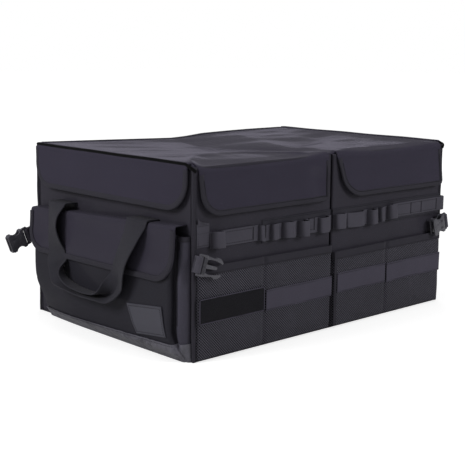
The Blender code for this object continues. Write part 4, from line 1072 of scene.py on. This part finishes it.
def make_guard():
    """The coated band over the pocket's foot, higher at the front."""
    levels = np.linspace(0, GUARD_REACH, 24)
    under = pocket_rows(levels, 0.0013, 0.0)
    share = np.array([0.0, 0.05, 0.15, 0.3, 0.45, 0.6, 0.75, 0.9, 1.0])
    rows = np.empty((len(share),) + under.shape[1:])
    for k in range(under.shape[1]):
        along = float(under[:, k, 1].mean())
        z = share * GUARD_HEIGHT * (1.02 - 1.6 * along)
        rows[:, k, :2] = between(z, levels, under[:, k, :2])
        rows[:, k, 2] = z
    a, z = rows[..., 1], rows[..., 2]
    ruck = 0.5 + 0.5 * np.sin(a * 260 + z * 260) * np.sin(a * 47 + 1) + 0.3 * np.sin(a * 430 - z * 260)
    rows[..., 0] -= 0.001 * ruck * step(z, 0.0, 0.006)
    panel("guard_band", rows, 0.0012, guard_cloth, "coated_cloth", "end_guard")
    stitch(rows[-2][6:-6] + np.array((-0.0008, 0, 0)), LEFT)


def patch_point(u, v, lift):
    """A point of the patch from shares across and up, each -1 to 1."""
    corners = ((-0.108, 0.0297), (-0.18, 0.0381), (-0.169, 0.0836), (-0.085, 0.0745))
    s, t = (1 + np.asarray(u)) / 2, (1 + np.asarray(v)) / 2
    y, z = (corners[0][k] * (1 - s) * (1 - t) + corners[1][k] * s * (1 - t) + corners[2][k] * s * t
            + corners[3][k] * (1 - s) * t for k in (0, 1))
    return on_left(y, pocket_depth(z) + pocket_crown(y) + lift, z)


def make_patch():
    v, u = plane(np.linspace(-1, 1, 12), np.linspace(-1, 1, 16))
    panel("patch_sheet", patch_point(u, v, 0.0012), 0.0014, rubber, "patch_rubber", "patch")
    corners = [(-0.965, -0.935), (0.965, -0.935), (0.965, 0.935), (-0.965, 0.935)]
    sides = zip(corners, corners[1:] + corners[:1])
    ring = np.concatenate([np.linspace(start, end, 12, endpoint=False) for start, end in sides])
    made = sweep("patch_rim", patch_point(ring[:, 0], ring[:, 1], 0.0019), LEFT, oval(0.0016, 0.0008, 8),
                 rubber, closed=True)
    settle(made, "box", "patch_rubber")
    inner = np.concatenate((ring, ring[:1])) * np.array((0.945, 0.9))
    stitch(patch_point(inner[:, 0], inner[:, 1], 0.002), LEFT, pitch=0.003, length=0.0022)


# Flaps
def corner_inset(down, drop, corner):
    """How far a flap's end draws in beside its rounded lower corner."""
    past = np.clip(down - (drop - corner), 0, None)
    return corner - np.sqrt(np.clip(corner * corner - past * past, 0, None))


def flap(name, surface, half_at, drop, thickness, finish, starts, lift=0.0008, columns=46):
    """A bound flap. surface(a, d) gives its outer side; half_at(d) its two ends.

    starts are the values of d above the hanging part. Returns the cloth, its binding, and the
    line and directions of its seam.
    """
    hang = drop * (1 - (1 - np.linspace(0, 1, 34)) ** 1.35)
    ds = np.concatenate((starts, hang))
    low, high = half_at(np.maximum(ds, 0))
    d, t = plane(ds, np.linspace(0, 1, columns))
    a = low[:, None] + (high - low)[:, None] * t
    body = cloth(name, surface(a, d), thickness, finish, surface=1.0)
    down = drop * np.sin(np.linspace(0.06, math.pi / 2, 60))
    low, high = half_at(down)
    line = np.concatenate((np.stack((low, down), axis=1), np.stack((high, down), axis=1)[::-1]))
    line = even(soften(even(line, 0.002), 1), 0.0024)
    tangent = line[1] - line[0]
    inward = line[-1] - line[0]
    sign = 1.0 if tangent[0] * inward[1] - tangent[1] * inward[0] > 0 else -1.0

    def lifted(distance, out):
        moved = inset_line(line, sign * distance)
        e = 0.0006
        across = surface(moved[:, 0] + e, moved[:, 1]) - surface(moved[:, 0] - e, moved[:, 1])
        fall = surface(moved[:, 0], moved[:, 1] + e) - surface(moved[:, 0], moved[:, 1] - e)
        normal = unit(np.cross(fall, across))
        return surface(moved[:, 0], moved[:, 1]) + normal * out, normal

    path, normal = lifted(0.0042, -thickness / 2 + lift * 0.25)
    binding = sweep(name + "_binding", path, normal, oval(0.0092, thickness + 2 * lift, 18, 3.2), tape)
    seam, normal = lifted(0.007, lift * 1.3)
    return body, binding, seam[4:-4], normal[4:-4]


def over_edge(q_outer, radius, top, flare, drop, ripple):
    """Outer side of cloth that lies flat, bends over an edge and hangs.

    d is the height below the top where it hangs, and below zero on the bend and the lid. The
    function returned gives how far out, how high, and how far in on the flat a point is.
    """
    def shape(a, d):
        arc = math.pi / 2 * radius
        bend = np.clip(d / arc + 1, 0, 1) * (math.pi / 2)
        flat = np.clip(-d - arc, 0, None)
        hang = np.clip(d, 0, None)
        q = q_outer - radius + radius * np.sin(bend) - flat + flare * hang / drop + ripple(a, hang)
        z = top - radius + radius * np.cos(bend) - hang
        return q, z, flat
    return shape


def hang_flap(name, node, made):
    """Bake a flap and its binding where they hang, hide its CAD node, and note its seam's stitches for a
    body named after the flap.
    """
    body, binding, seam, normal = made
    for piece in (body, binding):
        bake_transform(piece)
    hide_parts(node)
    stitch(seam, normal, name)


def make_front_flaps():
    radius = 0.0075
    drop = 0.0785 - radius
    arc = math.pi / 2 * radius
    starts = np.concatenate((-arc - np.linspace(0.016, 0.0005, 9), -arc * np.linspace(1, 0.08, 9)))
    outside = HALF_X - 0.008
    for side, sign in SIDES:
        def ripple(a, hang):
            t = hang / drop
            near_fold = np.exp(-((np.abs(a) - 0.03) / 0.035) ** 2)
            soft = 0.0008 * np.sin(19 * a + 2.0 * t + sign) * step(t, 0.05, 0.5)
            crease = 0.0026 * near_fold * np.sin(75 * (np.abs(a) + 0.45 * hang) + 0.6) * step(t, 0.05, 0.5)
            return soft + (crease if sign < 0 else crease * 0.35) - 0.0024 * (1 - t) * t

        shape = over_edge(HALF_Y + GAP + 0.003, radius, LID_TOP + 0.0002, 0.007, drop, ripple)

        def surface(a, d):
            q, z, flat = shape(a, d)
            sink = 0.0009 * step(flat, 0.004, 0.014)
            fall = front_fall(a, np.maximum(-q, FLAP_CREST_Y)) * (1 - step(d, 0.0, drop))
            return stacked(a, -q, z - sink - fall)

        def half_at(d):
            if sign < 0:
                inner = 0.0105 + 0.003 * d / drop + corner_inset(d, drop, 0.007)
                edge = outside - 0.0045 * (d / drop) - corner_inset(d, drop, 0.034)
            else:
                inner = 0.01 + 0.02 * d / drop + corner_inset(d, drop, 0.037)
                edge = outside - corner_inset(d, drop, 0.01)
            return np.sort(np.stack((sign * inner, sign * edge)), axis=0)

        made = flap("flap_front_" + side, surface, half_at, drop, FLAP_CLOTH, lid_cloth, starts)
        hang_flap("flap_front_" + side, "front_flap_" + side, made)


def make_end_flaps():
    radius = 0.0035
    drop = 0.0712 - radius
    arc = math.pi / 2 * radius
    starts = np.concatenate((-arc - np.linspace(0.003, 0.0005, 3), -arc * np.linspace(1, 0.15, 5)))

    def ripple(a, hang):
        t = hang / drop
        return 0.0006 * np.sin(14 * a + 1.3 * t) * step(t, 0.1, 0.6) - 0.0007 * np.sin(t * math.pi)

    def half_at(d):
        half = HALF_Y - 0.008 - corner_inset(d, drop, 0.045)
        return -half, half

    shape = over_edge(HALF_X + GAP + 0.003, radius, LID_TOP - 0.0012, 0.0052, drop, ripple)
    for side, sign in SIDES:
        def surface(a, d):
            q, z, flat = shape(a, d)
            return stacked(sign * q, -sign * a, z - 0.25 * flat)

        made = flap("flap_end_" + side, surface, half_at, drop, FLAP_CLOTH, lid_cloth, starts, columns=60)
        hang_flap("flap_end_" + side, "end_flap_" + side, made)


def make_pocket_flap():
    top = POCKET_TOP + 0.0026
    profile = [(0.0, top), (0.008, top + 0.0002), (0.0165, top), (0.0212, top - 0.0004),
               (0.0232, top - 0.0022), (0.0238, top - 0.006)]
    for down in (0.012, 0.02, 0.035, 0.05, 0.065, 0.08, 0.095):
        z = POCKET_TOP - down
        profile.append((float(pocket_depth(z)) + POCKET_CROWN + 0.003, z))
    profile = even(soften(profile, 3), 0.0015)
    length = run_of(profile)
    start = 0.0235
    drop = 0.0835

    def surface(a, d):
        s = d + start
        out = np.interp(s, length, profile[:, 0])
        z = np.interp(s, length, profile[:, 1])
        t = np.clip(d / drop, 0, 1)
        out = out + 0.0005 * np.sin(17 * a + 2 * t) * step(t, 0.1, 0.5)
        return on_pocket(a, out, z)

    def half_at(d):
        half = 0.1955 - corner_inset(d, drop, 0.042)
        return half, -half

    starts = np.linspace(-start, -0.0005, 14)
    body, binding, seam, normal = flap("pocket_flap", surface, half_at, drop, 0.002, pocket_flap_cloth,
                                       starts, lift=0.0006, columns=60)
    settle(body, "box", "outer_cloth", "end_pocket_flap")
    settle(binding, "box", "binding_tape")
    stitch(seam, normal)


# Handles
HANDLE_LINE = (
    (0.112, 0.2083, 0, 0, 0.0243), (0.1125, 0.19, 16, 0, 0.025), (0.1115, 0.17, 20, 0, 0.0268),
    (0.1095, 0.15, 13, 0, 0.029), (0.1065, 0.13, 2, 0, 0.03), (0.102, 0.112, -8, 1, 0.0305),
    (0.0935, 0.0975, -7, 24, 0.031), (0.0785, 0.0865, -2, 64, 0.031), (0.053, 0.079, 0, 84, 0.031),
    (0.0225, 0.0752, 0, 88, 0.031), (-0.008, 0.0748, 0, 88, 0.031), (-0.034, 0.0775, 0, 82, 0.031),
    (-0.054, 0.085, -6, 50, 0.031), (-0.067, 0.103, -12, 16, 0.031), (-0.077, 0.128, -19, 4, 0.0305),
    (-0.088, 0.153, -22, 1, 0.029), (-0.1, 0.18, -16, 0, 0.0265), (-0.108, 0.2083, 0, 0, 0.0243))


def spline(rows, count):
    """A smooth line through rows of values."""
    rows = np.asarray(rows, float)
    ends = np.vstack((2 * rows[0] - rows[1], rows, 2 * rows[-1] - rows[-2]))
    x = np.linspace(0, len(rows) - 1, count)
    i = np.minimum(x.astype(int), len(rows) - 2)
    u = (x - i)[:, None]
    a, b, c, d = (ends[i + k] for k in range(4))
    return 0.5 * (2 * b + (c - a) * u + (2 * a - 5 * b + 4 * c - d) * u * u
                  + (3 * b - a - 3 * c + d) * u ** 3)


def handle_rows(place, nearer, sign, ends, rolled):
    """Rows of points across a handle, from one sewn end to the other.

    HANDLE_LINE gives the middle line as along, height, roll, fold and stand-off: the webbing rolls
    on its legs and folds in half along its middle at the foot. nearer shifts it to the wall, and
    rolled scales the roll. ends are the (out, height) pairs of the rows sewn on at the x side of sign.
    """
    along, height, roll, fold, stand = spline(HANDLE_LINE, 96).T
    direction = np.stack((np.gradient(along), np.gradient(height)), axis=1)
    direction[0] = (0, -1)
    direction[-1] = (0, 1)
    direction = unit(direction)
    share = np.linspace(-1, 1, 21)
    middle = (share[1:] + share[:-1]) / 2
    angle = rolled * np.radians(roll)[:, None] + np.radians(fold)[:, None] * np.tanh(middle / 0.13)[None]
    each = HANDLE_WIDTH / 20
    pad = ((0, 0), (1, 0))
    across = np.pad(np.cumsum(np.cos(angle) * each, axis=1), pad)
    out = np.pad(np.cumsum(np.sin(angle) * each, axis=1), pad)
    across -= across[:, 10:11]
    out += stand[:, None] - nearer - out.min(axis=1, keepdims=True)
    side = along[:, None] + direction[:, 1:] * across
    rows = place(side, out, height[:, None] - direction[:, :1] * across)
    first = [stacked(sign * (HALF_X + GAP + o), rows[0][:, 1], z) for o, z in ends]
    last = [stacked(sign * (HALF_X + GAP + o), rows[-1][:, 1], z) for o, z in reversed(ends)]
    return np.concatenate((first, rows[1:-1], last))


def make_handles():
    over_mouth = ((0.0004, 0.2078), (0.006, 0.2079), (0.012, 0.208), (0.018, 0.2082), (0.0225, 0.2082),
                  (0.0245, 0.2076))
    up_wall = ((0.0012, 0.169), (0.0012, 0.178), (0.0012, 0.188), (0.0012, 0.198), (0.0013, 0.2055),
               (0.0018, 0.208))
    sides = (("left", on_left, 0.0, -1, over_mouth, 1.0, (-0.32, 0, 0.2085), (-0.3262, 0, 0.2058)),
             ("right", on_right, 0.0213, 1, up_wall, 0.05, (0.3015, 0, 0.2085), (0.304, 0, 0.206)))
    for side, place, nearer, sign, ends, rolled, start, end in sides:
        rows = handle_rows(place, nearer, sign, ends, rolled)
        made = cloth("handle_webbing_" + side, np.swapaxes(rows, 0, 1), 0.0024, handle_web)
        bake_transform(made)
        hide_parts(side + "_handle", "handle_strap_%s_back" % side, "handle_strap_%s_front" % side)
    for y in (HANDLE_BACK_Y, HANDLE_FRONT_Y):
        along = np.array([y - 0.022, y + 0.022])
        for z in (0.172, 0.19):
            stitch(on_right(along, 0.0025, z), RIGHT)
        for out in (0.004, 0.011):
            stitch(on_left(along, out, 0.2093), UP)


# Lid
def front_fall(x, y):
    """How far the lid falls from its front ridges to the crests of the front flaps."""
    ridge = curve(x, (-0.302, -0.21), (-0.275, -0.172), (-0.211, -0.112), (-0.147, -0.087),
                  (-0.094, -0.089), (-0.06, -0.126), (-0.04, -0.17), (-0.015, -0.205), (0.0, -0.211),
                  (0.02, -0.208), (0.04, -0.199), (0.09, -0.187), (0.135, -0.181), (0.2, -0.184),
                  (0.29, -0.196), (0.302, -0.208))
    depth = curve(x, (-0.302, 0.0036), (-0.264, 0.008), (-0.188, 0.0084), (-0.084, 0.007),
                  (-0.02, 0.0024), (0.02, 0.0022), (0.07, 0.0056), (0.108, 0.0066), (0.2, 0.0058),
                  (0.26, 0.0042), (0.302, 0.001))
    t = np.clip((ridge - y) / (ridge - FLAP_CREST_Y), 0, 1)
    crest = 0.0017 * np.exp(-((y - ridge) / 0.013) ** 2) * step(depth, 0.0025, 0.004)
    return depth * 1.1 * t * t / (t + 0.1) - crest


def rim_fade(x, y, along_x, along_y):
    """1 over most of the lid and 0 at its rim; higher powers fall later."""
    across = np.clip(1 - (np.abs(x) / RIM_X) ** along_x, 0, None)
    return across * np.clip(1 - (np.abs(y) / RIM_Y) ** along_y, 0, None)


def lid_height(x, y):
    """The lid's top with its crease, dip, ridges and sunken valley."""
    share = np.clip((y + HALF_Y) / (2 * HALF_Y), 0, 1)
    crease = curve(y, (-0.21, 0.0), (-0.1, 0.0), (-0.053, -0.011), (0.004, -0.033), (0.07, -0.044),
                   (0.184, -0.01), (0.21, 0.0))
    flat = curve(y, (-0.21, 0.02), (-0.093, 0.03), (-0.013, 0.05), (0.056, 0.082), (0.182, 0.126),
                 (0.21, 0.135))
    depth = curve(y, (-0.21, 0.002), (-0.16, 0.0024), (-0.1, 0.006), (-0.05, 0.0086), (0.0, 0.0106),
                  (0.07, 0.0114), (0.15, 0.0094), (0.21, 0.0074))
    rise = 0.0015 * share
    left = np.clip((x + 0.3) / (crease + 0.3), 0, 1)
    right = np.clip((x - crease) / (flat - crease), 0, 1)
    dip = np.where(x < crease, -rise + (depth + rise) * left ** 1.15, depth * (1 - right) ** 1.15)
    dip = dip + (back_dip(x) - dip) * step(y, 0.15, 0.208)
    dip = dip + 0.003 * (1 - share) * step(x, 0.03, 0.12) * (1 - step(x, 0.25, 0.3))
    inside = rim_fade(x, y, 6, 4)
    sag = 0.0014 + 0.001 * np.sin(21 * x + 9 * y) * np.sin(17 * y + 1.0)
    valley = curve(x, (-0.02, -0.11), (0.05, -0.078), (0.148, -0.022), (0.276, 0.045), (0.3, 0.055))
    off = y - valley
    band = np.where(off > 0, np.exp(-(off / 0.055) ** 2), np.exp(-(off / 0.028) ** 2))
    band = 0.0046 * band * step(x, 0.0, 0.06) * (1 - step(x, 0.2, 0.29))
    return LID_TOP - dip - sag * inside - band


def make_lid():
    xs = np.concatenate((np.linspace(-0.2995, -0.012, 62), np.linspace(-0.009, 0.009, 9),
                         np.linspace(0.012, 0.2995, 62)))
    ys = np.concatenate((np.linspace(-0.206, -0.165, 22), np.linspace(-0.162, HALF_Y, 96)))
    y, x = plane(ys, xs)
    z = lid_height(x, y)
    inside = rim_fade(x, y, 8, 8)
    z = z - front_fall(x, y) - 0.0045 * step(np.abs(x), 0.28, 0.3005) * step(-y, 0.188, 0.207)
    z = z + 0.0003 * np.sin(38 * x + 60 * y) * np.sin(29 * y + 0.6) * inside
    z = z + 0.00025 * np.sin(95 * y + 12 * x) * inside * step(-x, -0.05, 0.25)
    z = z + 0.00022 * np.sin(120 * y - 30 * x + 1.5 * np.sin(9 * x)) * inside * step(x, 0.06, 0.16)
    made = cloth("lid_sheet", stacked(x, y, z)[:, ::-1], LID_CLOTH, lid_cloth, surface=1.0)
    settle(made, "lid", "outer_cloth", "lid_top")
    for side, sign in SIDES:
        y = np.linspace(-0.2095, 0.201, 120)
        line = stacked(sign * 0.3036, y, LID_TOP - 0.0008 + 0.0003 * np.sin(y * 40))
        line[:4, 2] -= np.array((0.005, 0.0036, 0.0022, 0.0008))
        turn_front = [(sign * 0.2975, -0.212, LID_TOP - 0.011)]
        turn_back = [(sign * 0.2985, 0.2045, LID_TOP - 0.0008)]
        line = even(soften(np.concatenate((turn_front, line, turn_back)), 2), 0.003)
        # Real piping along each end edge; its near-black colour is painted shadow of the gap beneath it.
        made = sweep("lid_piping_" + side, line, UP, oval(0.0056, 0.005, 14, 2.2), piping_tape_painted_shadow)
        settle(made, "lid", "binding_tape")
        stitch(stacked(sign * 0.2955, np.linspace(-0.2, 0.204, 60), LID_TOP + 0.0002), UP, "lid")
    profile = [(0.196, 0.0004), (0.2035, 0.0004), (0.2085, -0.0002), (0.2118, -0.0022), (0.213, -0.006),
               (0.2124, -0.012), (0.2116, -0.02), (0.2112, -0.03)]
    profile = even(soften(profile, 2), 0.002)
    k, x = plane(np.arange(len(profile)), np.linspace(-0.292, 0.292, 90))
    row = profile[k.astype(int)]
    points = stacked(x, row[..., 0], LID_TOP - back_dip(x) + row[..., 1])
    made = cloth("lid_hinge_strip", points[:, ::-1], 0.0013, tape)
    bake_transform(made)


# Boards, stage, camera and light
def finish_boards():
    """The stiff boards stay as the CAD has them."""
    for name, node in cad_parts.items():
        if "board" in name:
            node.data.materials.clear()
            node.data.materials.append(board)


def make_stage():
    size = 14.0
    corners = [(x * size, y * size, -0.0003) for x, y in ((-1, -1), (1, -1), (1, 1), (-1, 1))]
    floor = add_mesh("floor", corners, [(0, 1, 2, 3)], [(0, 0), (1, 0), (1, 1), (0, 1)],
                     bpy.data.materials.new("floor"), smooth=False)
    paint = Tree(floor.data.materials[0])
    seen = paint.node("LightPath").outputs["Is Camera Ray"]
    away = paint.node("VectorMath", operation="LENGTH")
    paint.plug(away.inputs[0], paint.node("TexCoord").outputs["Object"])
    reach = paint.node("MapRange")
    for k, value in enumerate((away.outputs["Value"], 1.2, 4.5, FLOOR_GLOW, FLOOR_GLOW + 0.2)):
        paint.plug(reach.inputs[k], value)
    matt = paint.node("BsdfDiffuse")
    matt.inputs["Color"].default_value = (0.62, 0.62, 0.62, 1)
    glow = paint.node("Emission")
    glow.inputs["Color"].default_value = WHITE
    paint.plug(glow.inputs["Strength"], paint.math("MULTIPLY", seen, reach.outputs[0]))
    both = paint.node("AddShader")
    paint.plug(both.inputs[0], matt.outputs[0])
    paint.plug(both.inputs[1], glow.outputs[0])
    paint.plug(paint.node("OutputMaterial").inputs[0], both.outputs[0])


def lamp(name, place, target, size, power, colour=(1, 1, 1), glints=False):
    """A rectangular lamp; only one with glints shows in shiny surfaces."""
    data = bpy.data.lights.new(name, "AREA")
    data.shape = "RECTANGLE"
    data.size, data.size_y = size
    data.energy = power
    data.color = colour
    made = add_object(name, data)
    made.location = place
    made.visible_camera = False
    made.visible_glossy = glints
    made.rotation_mode = "QUATERNION"
    made.rotation_quaternion = (Vector(target) - Vector(place)).to_track_quat("-Z", "Y")


def make_light():
    world = bpy.data.worlds.new("surround")
    bpy.context.scene.world = world
    sky = Tree(world)
    amount = sky.node("Mix", data_type="FLOAT")
    sky.plug(amount.inputs[0], sky.node("LightPath").outputs["Is Camera Ray"])
    amount.inputs[2].default_value = WORLD_LIGHT
    amount.inputs[3].default_value = 1.0
    shine = sky.node("Background")
    shine.inputs["Color"].default_value = WHITE
    sky.plug(shine.inputs["Strength"], amount.outputs[0])
    sky.plug(sky.node("OutputWorld").inputs[0], shine.outputs[0])
    lamp("back_light", (1.7, 1.9, 0.455), (0, 0, 0.3), (2.4, 0.31), 1.9, (0.82, 0.77, 1.0), True)
    lamp("top_light", (-0.2, -0.3, 2.4), (0, 0, 0.2), (1.6, 1.4), 9)
    lamp("end_light", (-2.4, 0.5, 1.5), (0, 0, 0.15), (1.0, 0.9), 37)
    lamp("front_light", (1.1, -2.6, 1.5), (0, 0, 0.15), (1.1, 0.9), 36)
    lamp("far_light", (1.9, 2.3, 1.5), (0, 0, 0.15), (1.2, 0.9), 16)


def make_camera():
    place = Vector((-1.2647, -1.3384, 0.4695))
    target = Vector((-0.02835, 0.0, 0.13806))
    ahead = (target - place).normalized()
    right = ahead.cross(Vector(UP)).normalized()
    up = right.cross(ahead)
    roll = math.radians(0.48)
    turned_right = right * math.cos(roll) + up * math.sin(roll)
    turned_up = -right * math.sin(roll) + up * math.cos(roll)
    data = bpy.data.cameras.new("camera")
    data.lens = 79.74
    data.sensor_width = 36.0
    made = add_object("camera", data)
    turn = Matrix((turned_right, turned_up, -ahead)).transposed().to_4x4()
    turn.translation = place
    made.matrix_world = turn
    bpy.context.scene.camera = made


for build in (make_walls, make_bindings, make_mesh_pockets, make_trim, make_ladder, make_buckles,
              make_end_pocket, make_guard, make_patch, make_pocket_flap, make_handles, make_lid,
              make_front_flaps, make_end_flaps, build_stitches, finish_boards, make_stage, make_light,
              make_camera):
    build()
bpy.context.scene.view_settings.view_transform = "Standard"
